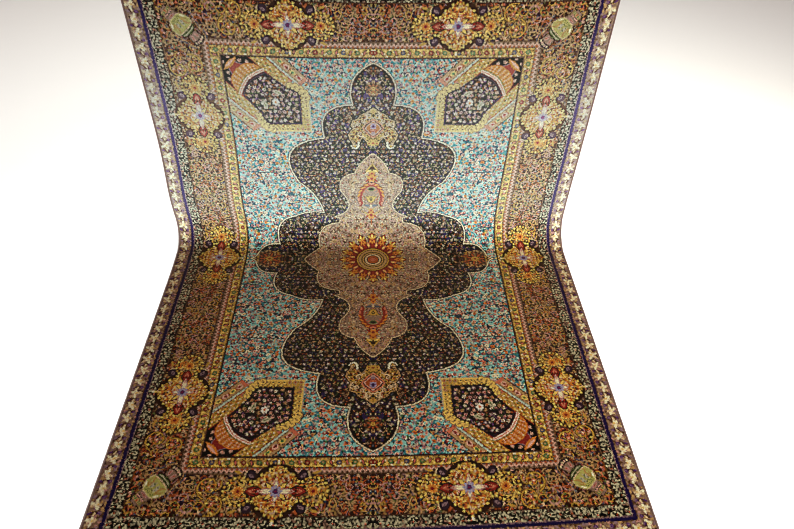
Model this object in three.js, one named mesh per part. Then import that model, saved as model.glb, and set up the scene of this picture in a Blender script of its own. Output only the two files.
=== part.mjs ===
// A medallion rug with a cut pile, its front half laid on the floor and its back half drawn up behind.
// Millimetres, +Z up. X runs across the rug and Y away from its laid end.
import * as THREE from "three";

// Driving sizes of the cloth
const WIDTH = 1520; // knotted width, without the overcast cords
const LENGTH = 2230; // knotted length, along the middle of the rug
const THICKNESS = 7; // foundation and pile together
const SHOULDER = 2.4; // how far the pile is rounded over at the edges
const END_DROP = 1.2; // how much lower the pile is at the very ends

// Driving sizes of the way it lies
const UPRIGHT_FACE_Y = 123; // pile face of the upright half, past the middle of the length
const BEND_RADIUS_LEFT = 95; // pile side of the bend, at the left edge
const BEND_RADIUS_RIGHT = 113; // pile side of the bend, at the right edge
const ROW_BOW = 19; // how far the middle of each row lies ahead of its ends
const FRONT_SKEW = 8; // how far the laid end lies askew: back at its right corner, ahead at its left
const DRIFT_LEFT = -15; // sideways drift of the left edge just above the bend
const DRIFT_RIGHT = -3; // sideways drift of the right edge there
const DRIFT_AT = 240; // where along the length, from the middle, the drift is greatest
const DRIFT_REACH = 180; // how fast the drift fades along the length

// Soft swells of the upright half: place across, place along the length, reach each way, height of the swell
const SWELLS = [
  { across: -470, along: 640, wide: 250, tall: 330, out: 7 },
  { across: 60, along: 470, wide: 260, tall: 260, out: -5 },
  { across: 450, along: 690, wide: 270, tall: 300, out: 6 },
  { across: -90, along: 980, wide: 300, tall: 240, out: 6 },
];
const SWELL_EASE = 270; // length above the bend over which the swells grow

// Overcast cords along the two long sides
const CORD_RADIUS = 2.9;
const CORD_TIP_RADIUS = 1.5;
const CORD_SIDES = 10;
const CORD_GAP = 0.3; // clearance between a cord and the edge of the cloth
const CORD_LIFT = 0.2; // clearance under a cord where the rug lies

// Stations of the mesh
const CELLS_ACROSS = 18;
const CELLS_LAID = 12;
const CELLS_BEND = 14;
const CELLS_UPRIGHT = 20;
const SLOPE_STEP = 1; // step along the cloth from which directions are taken

// Finishes
const PILE = { color: 0x6f5f48, roughness: 0.6, metalness: 0 };
const OVERCAST_YARN = { color: 0x9a9088, roughness: 0.75, metalness: 0 };

const HALF_WIDTH = WIDTH / 2;
const HALF_LENGTH = LENGTH / 2;
const QUARTER_TURN = Math.PI / 2;

/** Value between those of the left and the right edge, at a place across the rug. */
function between(across, left, right) {
  return THREE.MathUtils.mapLinear(across, -HALF_WIDTH, HALF_WIDTH, left, right);
}

/** How far the upright half swells towards its face at a place on the cloth. */
function swell(across, along) {
  let out = 0;
  for (const s of SWELLS) {
    const x = (across - s.across) / s.wide;
    const y = (along - s.along) / s.tall;
    out += s.out * Math.exp(-(x * x + y * y));
  }
  return out * THREE.MathUtils.smoothstep(along, UPRIGHT_FACE_Y, UPRIGHT_FACE_Y + SWELL_EASE);
}

/** Point of the pile face: across the rug and along its length, both from the middle of the cloth. */
function facePoint(across, along) {
  const share = across / HALF_WIDTH;
  const skew = FRONT_SKEW * share * THREE.MathUtils.clamp(-along / HALF_LENGTH, 0, 1);
  const row = along - ROW_BOW * (1 - share * share) + skew;
  const radius = between(across, BEND_RADIUS_LEFT, BEND_RADIUS_RIGHT);
  const bendStart = UPRIGHT_FACE_Y - radius;
  const turned = THREE.MathUtils.clamp((row - bendStart) / radius, 0, QUARTER_TURN);
  const risen = Math.max(row - bendStart - radius * QUARTER_TURN, 0);
  const away = (row - DRIFT_AT) / DRIFT_REACH;
  const drift = between(across, DRIFT_LEFT, DRIFT_RIGHT) * Math.exp(-away * away);
  return new THREE.Vector3(
    across + drift,
    Math.min(row, bendStart) + radius * Math.sin(turned) - swell(across, row),
    THICKNESS + radius * (1 - Math.cos(turned)) + risen,
  );
}

/** Directions of the cloth at a point: across, along, and out of the pile. */
function faceAxes(across, along) {
  const right = facePoint(across + SLOPE_STEP, along).sub(facePoint(across - SLOPE_STEP, along));
  const ahead = facePoint(across, along + SLOPE_STEP).sub(facePoint(across, along - SLOPE_STEP));
  const out = new THREE.Vector3().crossVectors(right, ahead).normalize();
  right.crossVectors(ahead, out);
  return { right: right.normalize(), ahead: ahead.normalize(), out };
}

/** Point of the cloth at a height above its back. */
function clothPoint(across, along, height) {
  const { out } = faceAxes(across, along);
  return facePoint(across, along).addScaledVector(out, height - THICKNESS);
}

/** Even steps from one value to another, both ends included. */
function steps(from, to, cells) {
  return Array.from({ length: cells + 1 }, (_, i) => THREE.MathUtils.lerp(from, to, i / cells));
}

/** Stations along the length: close together in the bend, wide apart where the cloth is straight. */
function lengthStations() {
  const bendStart = UPRIGHT_FACE_Y - BEND_RADIUS_RIGHT;
  const bendEnd = bendStart + BEND_RADIUS_RIGHT * QUARTER_TURN + ROW_BOW;
  return [
    ...steps(-HALF_LENGTH + SHOULDER, bendStart, CELLS_LAID),
    ...steps(bendStart, bendEnd, CELLS_BEND).slice(1),
    ...steps(bendEnd, HALF_LENGTH - SHOULDER, CELLS_UPRIGHT).slice(1),
  ];
}

/** Closed mesh over a row of rings with the same number of points, its two ends capped. */
function loft(rings, capTriangles) {
  const size = rings[0].length;
  const positions = rings.flat().flatMap((p) => p.toArray());
  const index = [];
  for (let r = 0; r + 1 < rings.length; r += 1) {
    for (let i = 0; i < size; i += 1) {
      const a = r * size + i;
      const b = r * size + ((i + 1) % size);
      index.push(a, a + size, b, b, a + size, b + size);
    }
  }
  const last = (rings.length - 1) * size;
  for (const [a, b, c] of capTriangles) {
    index.push(a, b, c);
    index.push(last + a, last + c, last + b);
  }
  const geometry = new THREE.BufferGeometry();
  geometry.setAttribute("position", new THREE.Float32BufferAttribute(positions, 3));
  geometry.setIndex(index);
  geometry.computeVertexNormals();
  return geometry;
}

/** Ring round the cloth at one station: along the back, up the right edge, and back over the pile. */
function clothRing(along, pileHeight) {
  const backStations = steps(-HALF_WIDTH, HALF_WIDTH, CELLS_ACROSS);
  const pileStations = steps(HALF_WIDTH - SHOULDER, -HALF_WIDTH + SHOULDER, CELLS_ACROSS);
  return [
    ...backStations.map((across) => clothPoint(across, along, 0)),
    clothPoint(HALF_WIDTH, along, pileHeight - SHOULDER),
    ...pileStations.map((across) => clothPoint(across, along, pileHeight)),
    clothPoint(-HALF_WIDTH, along, pileHeight - SHOULDER),
  ];
}

/** Triangles that close the end of the cloth between its back and its pile. */
function clothCap() {
  const row = CELLS_ACROSS + 1;
  const rightEdge = row;
  const leftEdge = 2 * row + 1;
  const pile = (i) => leftEdge - 1 - i;
  const triangles = [];
  for (let i = 0; i < CELLS_ACROSS; i += 1) {
    triangles.push([i, i + 1, pile(i)], [i + 1, pile(i + 1), pile(i)]);
  }
  triangles.push([CELLS_ACROSS, rightEdge, pile(CELLS_ACROSS)], [0, pile(0), leftEdge]);
  return triangles;
}

/** The knotted cloth: one solid, rounded over at its ends and sides. */
function rugGeometry() {
  const stations = lengthStations();
  const rings = [
    clothRing(-HALF_LENGTH, THICKNESS - END_DROP),
    ...stations.map((along) => clothRing(along, THICKNESS)),
    clothRing(HALF_LENGTH, THICKNESS - END_DROP),
  ];
  return loft(rings, clothCap());
}

/** Ring round an overcast cord, at a station along the length and a radius. */
function cordRing(side, along, radius) {
  const { right, out } = faceAxes(side * HALF_WIDTH, along);
  const centre = clothPoint(side * HALF_WIDTH, along, CORD_RADIUS + CORD_LIFT);
  centre.addScaledVector(right, side * (CORD_RADIUS + CORD_GAP));
  return Array.from({ length: CORD_SIDES }, (_, i) => {
    const turn = (2 * Math.PI * (i + 0.5)) / CORD_SIDES - QUARTER_TURN;
    return centre
      .clone()
      .addScaledVector(right, radius * Math.cos(turn))
      .addScaledVector(out, radius * Math.sin(turn));
  });
}

/** Triangles that close the end of a cord, as a fan. */
function cordCap() {
  return Array.from({ length: CORD_SIDES - 2 }, (_, i) => [0, i + 1, i + 2]);
}

/** The cord of overcast yarn along one long side, tapered at its two ends. */
function cordGeometry(side) {
  const stations = lengthStations();
  const rings = [
    cordRing(side, -HALF_LENGTH, CORD_TIP_RADIUS),
    ...stations.map((along) => cordRing(side, along, CORD_RADIUS)),
    cordRing(side, HALF_LENGTH, CORD_TIP_RADIUS),
  ];
  return loft(rings, cordCap());
}

/** Named mesh with a material of its own. */
function piece(name, geometry, finish) {
  const mesh = new THREE.Mesh(geometry, new THREE.MeshStandardMaterial(finish));
  mesh.name = name;
  return mesh;
}

const group = new THREE.Group();
group.add(piece("rug", rugGeometry(), PILE));
group.add(piece("overcast_left", cordGeometry(-1), OVERCAST_YARN));
group.add(piece("overcast_right", cordGeometry(1), OVERCAST_YARN));

// The origin is the middle of the floor under the whole rug.
const middle = new THREE.Box3().setFromObject(group, true).getCenter(new THREE.Vector3());
for (const mesh of group.children) {
  mesh.position.set(-middle.x, -middle.y, 0);
}

export default group;
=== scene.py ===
"""A medallion rug with a silk pile, its front half laid on the floor and its back half drawn up behind.

The CAD model gives the frame. The pile is knotted here: one quarter of the design is charted with plain
motifs, mirrored over the rug, and each knot of the pile takes its colour from the chart. Sizes are metres in
the scene and millimetres in the chart.
"""
import logging
import math
from collections.abc import Iterator
from contextlib import contextmanager
from dataclasses import dataclass, field
from enum import Enum
from typing import TypeVar

import bpy
import numpy as np
from mathutils import Matrix, Vector


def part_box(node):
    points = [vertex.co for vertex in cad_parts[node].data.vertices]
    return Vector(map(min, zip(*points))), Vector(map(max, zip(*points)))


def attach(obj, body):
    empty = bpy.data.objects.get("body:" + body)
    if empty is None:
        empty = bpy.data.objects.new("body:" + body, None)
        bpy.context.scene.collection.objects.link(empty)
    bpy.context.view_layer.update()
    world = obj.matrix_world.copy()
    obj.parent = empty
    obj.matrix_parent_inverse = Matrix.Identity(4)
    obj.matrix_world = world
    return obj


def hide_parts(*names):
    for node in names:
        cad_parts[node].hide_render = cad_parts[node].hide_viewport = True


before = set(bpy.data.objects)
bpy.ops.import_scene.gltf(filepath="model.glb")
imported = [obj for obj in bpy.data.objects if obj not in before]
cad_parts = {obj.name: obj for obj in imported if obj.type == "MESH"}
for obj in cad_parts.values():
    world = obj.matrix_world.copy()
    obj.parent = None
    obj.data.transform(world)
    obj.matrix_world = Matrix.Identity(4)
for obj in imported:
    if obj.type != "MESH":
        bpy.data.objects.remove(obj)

LOG = logging.getLogger("rug")
QUARTER_TURN = math.pi / 2
SLANT = 3 * math.pi / 4  # direction out of the rug's corner, for motifs set slantwise
END_TRIM = 5.0  # how far the borders reach past the charted end
FOLD_BACK = -99.0  # a place well past a fold, out of sight


class Dye(Enum):
    """Yarn colours of the rug, as sRGB hex values."""

    INK = "0d0a07"
    NAVY = "271b3e"
    LAVENDER = "9a90ac"
    VIOLET = "5a3560"
    PLUM = "33212b"
    MAUVE = "876a72"
    SLATE = "4c505c"
    DEEP_TEAL = "17343f"
    TEAL = "31707a"
    AQUA = "84b8b4"
    MIST = "b9c2b0"
    BOTTLE = "13120b"
    OLIVE = "5d6238"
    SAGE = "aca488"
    LIME = "a9a35c"
    GREEN = "55743f"
    BROWN = "573a29"
    UMBER = "341d12"
    TAUPE = "866857"
    TAN = "a9845a"
    BEIGE = "ccb18b"
    CREAM = "e6d7b4"
    IVORY = "e8dec8"
    YELLOW = "deb860"
    GOLD = "b48a3c"
    KHAKI = "a8844c"
    ORANGE = "c4752f"
    RUST = "9c4d28"
    RED = "86291f"
    CORAL = "bf6a50"
    PINK = "d3a08c"
    ROSE = "b08078"

    def linear(self) -> np.ndarray:
        """Gives the colour as linear light."""
        shares = [int(self.value[i : i + 2], 16) / 255.0 for i in (0, 2, 4)]
        light = [c / 12.92 if c < 0.04045 else ((c + 0.055) / 1.055) ** 2.4 for c in shares]
        return np.array(light, np.float32)


@dataclass(frozen=True)
class ClothSize:
    """Sizes of the knotted cloth, in metres, and of its knots."""

    width: float = 1.520
    length: float = 2.230
    thickness: float = 0.007
    shoulder: float = 0.0024
    columns: int = 544
    rows: int = 780

    @property
    def half_width(self) -> float:
        """Gives half of the width."""
        return self.width / 2

    @property
    def half_length(self) -> float:
        """Gives half of the length."""
        return self.length / 2


Point = tuple[float, float]
Points = list[Point]
Dyes = tuple[Dye, ...]
DyePairs = tuple[tuple[Dye, Dye], ...]
Choice = TypeVar("Choice")


def arc_points(start: Point, end: Point, bulge: float, count: int = 9) -> Points:
    """Gives points on a shallow curve, without its end.

    Args:
        start: First point of the curve.
        end: Last point of the curve, which is left out.
        bulge: Height of the curve over its chord, to the left of the way from start to end.
        count: Number of points.

    Returns:
        The points, from the start on.
    """
    run = np.subtract(end, start)
    side = np.array([-run[1], run[0]]) / np.hypot(*run)
    shares = np.arange(count) / count
    rise = 4.0 * bulge * shares * (1.0 - shares)
    return [tuple(np.add(start, run * t) + side * h) for t, h in zip(shares, rise)]


def spiral_points(size: float, turns: float, turn: float, hand: int, count: int = 15) -> Points:
    """Gives the points of a scroll that winds in towards its own middle.

    Args:
        size: Radius at the outer end.
        turns: How often it winds round.
        turn: Direction of the outer end, in radians.
        hand: 1 to wind to the left, -1 to the right.
        count: Number of points.

    Returns:
        The points, from the outer end in.
    """
    wound_in = 0.86
    shares = np.linspace(0.0, wound_in, count)
    angles = turn + hand * shares * turns * math.tau
    return [(size * (1 - t) * math.cos(a), size * (1 - t) * math.sin(a)) for t, a in zip(shares, angles)]


class View:
    """A window of the knotting chart with coordinates of its own, in millimetres, for drawing motifs."""

    HEART = 0.34  # reach of a flower's middle, as a share of its petals'

    def __init__(self, chart: "Chart", box: tuple[slice, slice], x: np.ndarray, y: np.ndarray) -> None:
        """Keeps the window and its coordinates."""
        self.chart, self.box, self.x, self.y = chart, box, x, y

    def lay(self, gap: np.ndarray, dye: Dye, strength: float = 1.0) -> None:
        """Knots a shape in one dye.

        Args:
            gap: Signed distance to the shape's edge in millimetres, negative inside.
            dye: The shape's colour.
            strength: How much of what lies under it the shape hides.
        """
        cover = np.clip(0.5 - gap / self.chart.step, 0.0, 1.0) * self.chart.clip[self.box] * strength
        ground = self.chart.colour[self.box]
        ground += cover[..., None] * (self.chart.dyes[dye] - ground)

    def away(self, x: float, y: float) -> np.ndarray:
        """Gives the distance of each point from one place."""
        return np.hypot(self.x - x, self.y - y)

    def disc(self, x: float, y: float, radius: float, dye: Dye) -> None:
        """Knots a round dot."""
        self.lay(self.away(x, y) - radius, dye)

    def bar(self, x: float, half: float, end: float, dye: Dye) -> None:
        """Knots a straight band along y, by its middle, half its width and its end."""
        self.lay(np.maximum(np.abs(self.x - x) - half, self.y - end), dye)

    def flower(
        self, x: float, y: float, radius: float, petals: int, petal: Dye, heart: Dye, turn: float, cut: float
    ) -> None:
        """Knots a flower seen from above.

        Args:
            x: Place of its middle.
            y: Place of its middle.
            radius: Reach of the petals.
            petals: Number of petals.
            petal: Colour of the petals.
            heart: Colour of the middle.
            turn: How far it is turned, in radians.
            cut: How deep the gaps between the petals are, as a share of the radius.
        """
        angle = np.arctan2(self.y - y, self.x - x) + turn
        reach = radius * (1.0 - cut + cut * np.abs(np.cos(angle * petals / 2.0)) ** 0.8)
        away = self.away(x, y)
        self.lay(away - reach, petal)
        self.lay(away - self.HEART * radius, heart)

    def leaf(self, x: float, y: float, length: float, width: float, turn: float, dye: Dye) -> None:
        """Knots a pointed leaf round its middle.

        Args:
            x: Place of its middle.
            y: Place of its middle.
            length: Length from tip to tip.
            width: Width at the middle.
            turn: Direction of its length, in radians.
            dye: Its colour.
        """
        along = (self.x - x) * math.cos(turn) + (self.y - y) * math.sin(turn)
        aside = (self.y - y) * math.cos(turn) - (self.x - x) * math.sin(turn)
        share = np.clip(1.0 - (2.0 * along / length) ** 2, -1.0, 1.0)
        self.lay(np.abs(aside) - share * width / 2, dye)

    def stroke(self, points: Points, width: float, dye: Dye, taper: float = 0.0) -> None:
        """Knots a line through points.

        Args:
            points: Points of the line.
            width: Its width at the first point.
            dye: Its colour.
            taper: How much of the width is lost towards the last point.
        """
        gap = np.full(self.x.shape, np.inf, np.float32)
        for i, (a, b) in enumerate(zip(points, points[1:])):
            half = width / 2 * (1.0 - taper * i / max(len(points) - 2, 1))
            gap = np.minimum(gap, self.segment(a, b) - half)
        self.lay(gap, dye)

    def segment(self, a: Point, b: Point) -> np.ndarray:
        """Gives the distance of each point from a straight line between two points."""
        run = (b[0] - a[0], b[1] - a[1])
        square = max(run[0] ** 2 + run[1] ** 2, 1e-9)
        share = np.clip(((self.x - a[0]) * run[0] + (self.y - a[1]) * run[1]) / square, 0.0, 1.0)
        return np.hypot(self.x - a[0] - share * run[0], self.y - a[1] - share * run[1])

    def inside_gap(self, points: Points) -> np.ndarray:
        """Gives the signed distance of each point from an outline, negative inside.

        Args:
            points: The outline's points on the near side of the fold, from one place on the fold to another.

        Returns:
            The distances. The outline is closed on the far side of the fold, out of sight.
        """
        outline = points + [(FOLD_BACK, points[-1][1]), (FOLD_BACK, points[0][1])]
        gap = np.full(self.x.shape, np.inf, np.float32)
        inside = np.zeros(self.x.shape, bool)
        for a, b in zip(outline, outline[1:] + outline[:1]):
            gap = np.minimum(gap, self.segment(a, b))
            if a[1] != b[1]:
                crossing = a[0] + (self.y - a[1]) * (b[0] - a[0]) / (b[1] - a[1])
                inside ^= ((a[1] > self.y) != (b[1] > self.y)) & (self.x < crossing)
        return np.where(inside, -gap, gap)

    def shape(self, points: Points, dye: Dye, edge: Dye, edge_width: float) -> np.ndarray:
        """Knots a closed outline with a line round it.

        Args:
            points: The outline, as for inside_gap.
            dye: Colour inside it.
            edge: Colour of the line round it.
            edge_width: Width of that line.

        Returns:
            The signed distance of each point from the outline.
        """
        gap = self.inside_gap(points)
        self.lay(gap - edge_width, edge)
        self.lay(gap, dye)
        return gap


class Chart:
    """A quarter of the knotting chart, painted at several points to the knot.

    Across and along are millimetres from the middle of the rug, and the other quarters mirror this one.
    """

    FINE = 3  # points to the knot, each way
    STRAY = 2  # how many points astray a knot may take its colour from
    STRAY_SHARE = 0.5  # how much of its colour it takes from there

    def __init__(self, size: ClothSize, seed: int) -> None:
        """Starts a bare chart for cloth of a size."""
        self.half_width, self.half_length = 1000.0 * size.half_width, 1000.0 * size.half_length
        columns, rows = size.columns // 2 * self.FINE, size.rows // 2 * self.FINE
        self.step = self.half_width / columns
        across = (np.arange(columns, dtype=np.float32) + 0.5) * self.half_width / columns
        along = (np.arange(rows, dtype=np.float32) + 0.5) * self.half_length / rows
        self.across, self.along = np.meshgrid(across, along)
        self.colour = np.zeros(self.across.shape + (3,), np.float32)
        self.clip = np.ones(self.across.shape, np.float32)
        self.dyes = {dye: dye.linear() for dye in Dye}
        self.random = np.random.default_rng(seed)

    def view(self, across: float, along: float, reach: float, turn: float = 0.0, fold: str = "") -> View:
        """Opens a window round a place.

        Args:
            across: Place of its middle across the rug.
            along: Place of its middle along the rug.
            reach: How far it reaches each way.
            turn: Direction of the window's own x, in radians from across towards along.
            fold: Own axes along which it is mirrored, "x", "y" or "xy".

        Returns:
            The window.
        """
        columns, rows = self.across.shape[1], self.across.shape[0]
        pitch = (self.half_width / columns, self.half_length / rows)
        left, right = (int(np.clip((across + side * reach) / pitch[0], 0, columns)) for side in (-1, 1))
        low, high = (int(np.clip((along + side * reach) / pitch[1], 0, rows)) for side in (-1, 1))
        box = (slice(low, max(high, low)), slice(left, max(right, left)))
        dx, dy = self.across[box] - across, self.along[box] - along
        x = dx * math.cos(turn) + dy * math.sin(turn)
        y = dy * math.cos(turn) - dx * math.sin(turn)
        return View(self, box, np.abs(x) if "x" in fold else x, np.abs(y) if "y" in fold else y)

    def whole(self) -> View:
        """Opens the whole chart."""
        return View(self, (slice(None), slice(None)), self.across, self.along)

    def inset(self) -> np.ndarray:
        """Gives the distance of each point from the nearest edge of the rug."""
        return np.minimum(self.half_width - self.across, self.half_length + END_TRIM - self.along)

    def stripe(self, start: float, end: float) -> np.ndarray:
        """Gives the signed distance from a stripe between two distances from the rug's edge."""
        inset = self.inset()
        return np.maximum(start - inset, inset - end)

    @contextmanager
    def within(self, gap: np.ndarray, view: View | None = None) -> Iterator[None]:
        """Keeps what is knotted meanwhile inside a signed distance.

        Args:
            gap: The signed distance, negative inside.
            view: The window that it is given for, or nothing for the whole chart.
        """
        self.clip = np.zeros(self.across.shape, np.float32)
        self.clip[(view or self.whole()).box] = np.clip(0.5 - gap / self.step, 0, 1)
        yield
        self.clip = np.ones(self.across.shape, np.float32)

    def patch(self, low: Point = (0.0, 0.0), high: Point | None = None) -> "Patch":
        """Marks out a rectangle from its least to its greatest place, or the whole chart."""
        return Patch(self, low, high or (self.half_width, self.half_length))

    def pick(self, choices: tuple[Choice, ...]) -> Choice:
        """Draws one of several dyes, or pairs of dyes."""
        return choices[int(self.random.integers(len(choices)))]

    def size(self, small: float, large: float) -> float:
        """Draws a size between two others."""
        return float(self.random.uniform(small, large))

    def angle(self) -> float:
        """Draws a direction."""
        return float(self.random.uniform(0.0, math.tau))

    def knots(self) -> np.ndarray:
        """Gives the colour of each knot of the quarter, rows along and columns across.

        A knot is partly the colour at its place and partly one a little astray, as in work done by hand.
        """
        high, wide = self.colour.shape[:2]
        rows, columns = high // self.FINE, wide // self.FINE
        even = self.colour.reshape(rows, self.FINE, columns, self.FINE, 3).mean(axis=(1, 3))
        stray = self.random.integers(-self.STRAY, self.STRAY + 1, (2, rows, columns)) + self.FINE // 2
        row = np.clip(stray[0] + self.FINE * np.arange(rows)[:, None], 0, high - 1)
        column = np.clip(stray[1] + self.FINE * np.arange(columns)[None, :], 0, wide - 1)
        return even + self.STRAY_SHARE * (self.colour[row, column] - even)


@dataclass(frozen=True)
class Patch:
    """A rectangle of the chart over which motifs are strewn, where the chart's clip lets them show."""

    ROW_PITCH = 0.87  # distance between rows of motifs, as a share of that within a row
    JITTER = 0.26  # how far a motif lies from its even place, as the same share
    SIZES = (0.75, 1.25)  # least and greatest size of leaves and scrolls, as shares of the one asked for
    FLOWER_SIZES = (0.82, 1.2)
    SCROLL_TURNS = 1.15

    chart: Chart
    low: Point
    high: Point

    def places(self, pitch: float) -> Points:
        """Gives places strewn evenly, but not in rows, over the clipped part of the rectangle.

        Args:
            pitch: Distance between places.

        Returns:
            The places, across and along.
        """
        chart, places = self.chart, []
        rows, columns = chart.clip.shape
        for j, along in enumerate(np.arange(self.low[1], self.high[1], pitch * self.ROW_PITCH)):
            for across in np.arange(self.low[0] + (j % 2) * pitch / 2, self.high[0], pitch):
                stray = chart.random.uniform(-self.JITTER, self.JITTER, 2) * pitch
                x, y = np.array([across, along]) + stray
                i, k = int(y / chart.half_length * rows), int(x / chart.half_width * columns)
                if 0 <= i < rows and 0 <= k < columns and chart.clip[i, k] > 0.5:
                    places.append((float(x), float(y)))
        return places

    def flowers(self, pitch: float, radius: float, petals: int, pairs: DyePairs, cut: float) -> None:
        """Strews flowers, the size, turn and colours of each drawn by lot.

        Args:
            pitch: Distance between them.
            radius: Reach of their petals, about.
            petals: Number of petals.
            pairs: Colours of petals and heart to choose from.
            cut: How deep the gaps between the petals are.
        """
        chart = self.chart
        for across, along in self.places(pitch):
            petal, heart = chart.pick(pairs)
            size = radius * chart.size(*self.FLOWER_SIZES)
            view = chart.view(across, along, 1.2 * size + 2)
            view.flower(0, 0, size, petals, petal, heart, chart.angle(), cut)

    def leaves(self, pitch: float, length: float, width: float, dyes: Dyes) -> None:
        """Strews leaves of about a length and width, the size, turn and colour of each drawn by lot."""
        chart = self.chart
        for across, along in self.places(pitch):
            size = chart.size(*self.SIZES)
            view = chart.view(across, along, length * size)
            view.leaf(0, 0, length * size, width * size, chart.angle(), chart.pick(dyes))

    def scrolls(self, pitch: float, size: float, width: float, dyes: Dyes) -> None:
        """Strews scrolls of about a size, the size, turn, hand and colour of each drawn by lot."""
        chart = self.chart
        for across, along in self.places(pitch):
            reach = size * chart.size(*self.SIZES)
            hand = 1 if chart.random.random() < 0.5 else -1
            points = spiral_points(reach, self.SCROLL_TURNS, chart.angle(), hand)
            chart.view(across, along, reach + width).stroke(points, width, chart.pick(dyes), taper=0.5)


@dataclass(frozen=True)
class Band:
    """One stripe of the frame of borders, by the distance of its inner edge from the rug's edge."""

    end: float
    dye: Dye


@dataclass(frozen=True)
class Borders:
    """The frame of borders: a flowered outer band, a navy stripe, guards, and the wide main border."""

    EDGE = -9.0  # start of the first band, past the edge of the pile
    MAIN_MIDDLE = 152.0  # distance of the main border's vines from the rug's edge

    bands: tuple[Band, ...] = (
        Band(3, Dye.TAUPE),
        Band(43, Dye.TAUPE),
        Band(45.5, Dye.BROWN),
        Band(56, Dye.NAVY),
        Band(58, Dye.MAUVE),
        Band(90, Dye.BOTTLE),
        Band(92.5, Dye.BROWN),
        Band(213, Dye.UMBER),
        Band(216, Dye.BROWN),
        Band(234, Dye.TAUPE),
        Band(236.5, Dye.BROWN),
        Band(264, Dye.GOLD),
        Band(268, Dye.BROWN),
        Band(271, Dye.INK),
    )

    @property
    def field_inset(self) -> float:
        """Gives the distance of the field from the rug's edge."""
        return self.bands[-1].end

    def line(self, chart: Chart, inset: float, pitch: float) -> list[tuple[float, float, float]]:
        """Gives even places along the middle of a band, down the side and across the end.

        Args:
            chart: The chart.
            inset: Distance of the line from the rug's edge.
            pitch: Distance between places, about.

        Returns:
            Across, along and the direction that points out of the rug, for each place.
        """
        side, end = chart.half_width - inset, chart.half_length + END_TRIM - inset
        down, over = (self.runs(reach, pitch) for reach in (end, side))
        return [(side, run, 0.0) for run in down] + [(run, end, QUARTER_TURN) for run in over]

    def runs(self, reach: float, pitch: float) -> list[float]:
        """Gives the middles of even steps of about a pitch over a reach."""
        count = max(round(reach / pitch), 1)
        return [(i + 0.5) * reach / count for i in range(count)]

    def knot(self, chart: Chart) -> None:
        """Knots the bands and what is on them."""
        whole, start = chart.whole(), self.EDGE
        for band in self.bands:
            whole.lay(chart.stripe(start, band.end), band.dye)
            start = band.end
        with chart.within(chart.stripe(2, 45.5)):
            self.outer_band(chart)
        with chart.within(chart.stripe(58.5, 89.5)):
            self.outer_guard(chart.patch())
        with chart.within(chart.stripe(237, 264)):
            self.gold_band(chart)
        self.zigzag(chart)
        with chart.within(chart.stripe(94, 212)):
            self.main_ground(chart.patch())
            self.vines(chart)

    def outer_band(self, chart: Chart) -> None:
        """Knots uneven cream stars and violet buds in turn along the outermost band."""
        chart.patch().leaves(10, 12, 6, (Dye.BROWN, Dye.MAUVE, Dye.TAN, Dye.TAUPE, Dye.ROSE))
        for i, (across, along, turn) in enumerate(self.line(chart, 20.0, 22.6)):
            view = chart.view(across, along, 32, turn)
            if i % 2:
                view.leaf(2, 0, 40, 10, 0.2, Dye.BROWN)
                view.flower(-14, 0, 6.0, 5, Dye.VIOLET, Dye.MAUVE, i, 0.4)
                view.leaf(12, 1, 14, 6, 0.5, Dye.VIOLET if i % 4 == 1 else Dye.MAUVE)
                view.leaf(-1, 3, 15, 6.5, 1.2, Dye.BEIGE)
            else:
                self.star(view)

    def star(self, view: View) -> None:
        """Knots an uneven cream star with five points."""
        points, inset = 5, 0.42
        for k in range(points):
            angle = math.pi + k * math.tau / points + view.chart.size(-0.5, 0.5)
            length = view.chart.size(15, 25)
            px, py = length * inset * math.cos(angle), length * inset * math.sin(angle)
            view.leaf(px, py, length, 9.0, angle, Dye.CREAM if k % 3 else Dye.BEIGE)
        view.disc(2, 1, 6.5, Dye.CREAM)
        view.leaf(-3, -2, 9, 4.5, 0.7, Dye.YELLOW)
        view.leaf(6, 4, 8, 3.4, 2.0, Dye.ROSE)

    def outer_guard(self, ground: Patch) -> None:
        """Strews small sage leaves, parted by dark ones, along the dark guard."""
        ground.leaves(10.5, 11, 6.6, (Dye.SAGE, Dye.SAGE, Dye.TAUPE, Dye.SAGE))
        ground.leaves(11, 9, 3.4, (Dye.BOTTLE,))
        ground.leaves(31, 7, 3.6, (Dye.RUST, Dye.CORAL))

    def gold_band(self, chart: Chart) -> None:
        """Knots florets, lozenges and fine leaves in turn along the gold band."""
        fine = (Dye.YELLOW, Dye.BROWN, Dye.YELLOW, Dye.UMBER, Dye.UMBER, Dye.CREAM)
        chart.patch().leaves(8.5, 9, 4.4, fine)
        florets = (Dye.GREEN, Dye.SLATE, Dye.GREEN, Dye.RED)
        for i, (across, along, turn) in enumerate(self.line(chart, 250.0, 11.4)):
            view = chart.view(across, along, 20, turn)
            if i % 4 == 0:
                view.disc(0, 0, 8.4, Dye.BROWN)
                view.flower(0, 0, 8.0, 5, florets[i // 4 % 4], Dye.TAN, i, 0.5)
            elif i % 4 == 2:
                view.leaf(0, 0, 24, 10, 0.3, Dye.BROWN)
                view.leaf(0, 0, 15, 5.0, 0.3, Dye.CORAL)
            else:
                view.leaf(-7.5, 0, 13, 6.0, -0.5, Dye.KHAKI)
                view.leaf(7.5, 0, 13, 6.0, 0.5, Dye.YELLOW)

    def zigzag(self, chart: Chart) -> None:
        """Knots a pale zigzag along the inner guard."""
        for across, along, turn in self.line(chart, 225.0, 14.6):
            view = chart.view(across, along, 11, turn)
            view.leaf(-6.0, 0, 7, 8, QUARTER_TURN, Dye.RUST)
            for side in (-1, 1):
                view.leaf(5.5, side * 7.3, 7, 8, QUARTER_TURN, Dye.BROWN)
            view.stroke([(-4.2, -7.4), (4.0, 0), (-4.2, 7.4)], 2.8, Dye.PINK)

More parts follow.
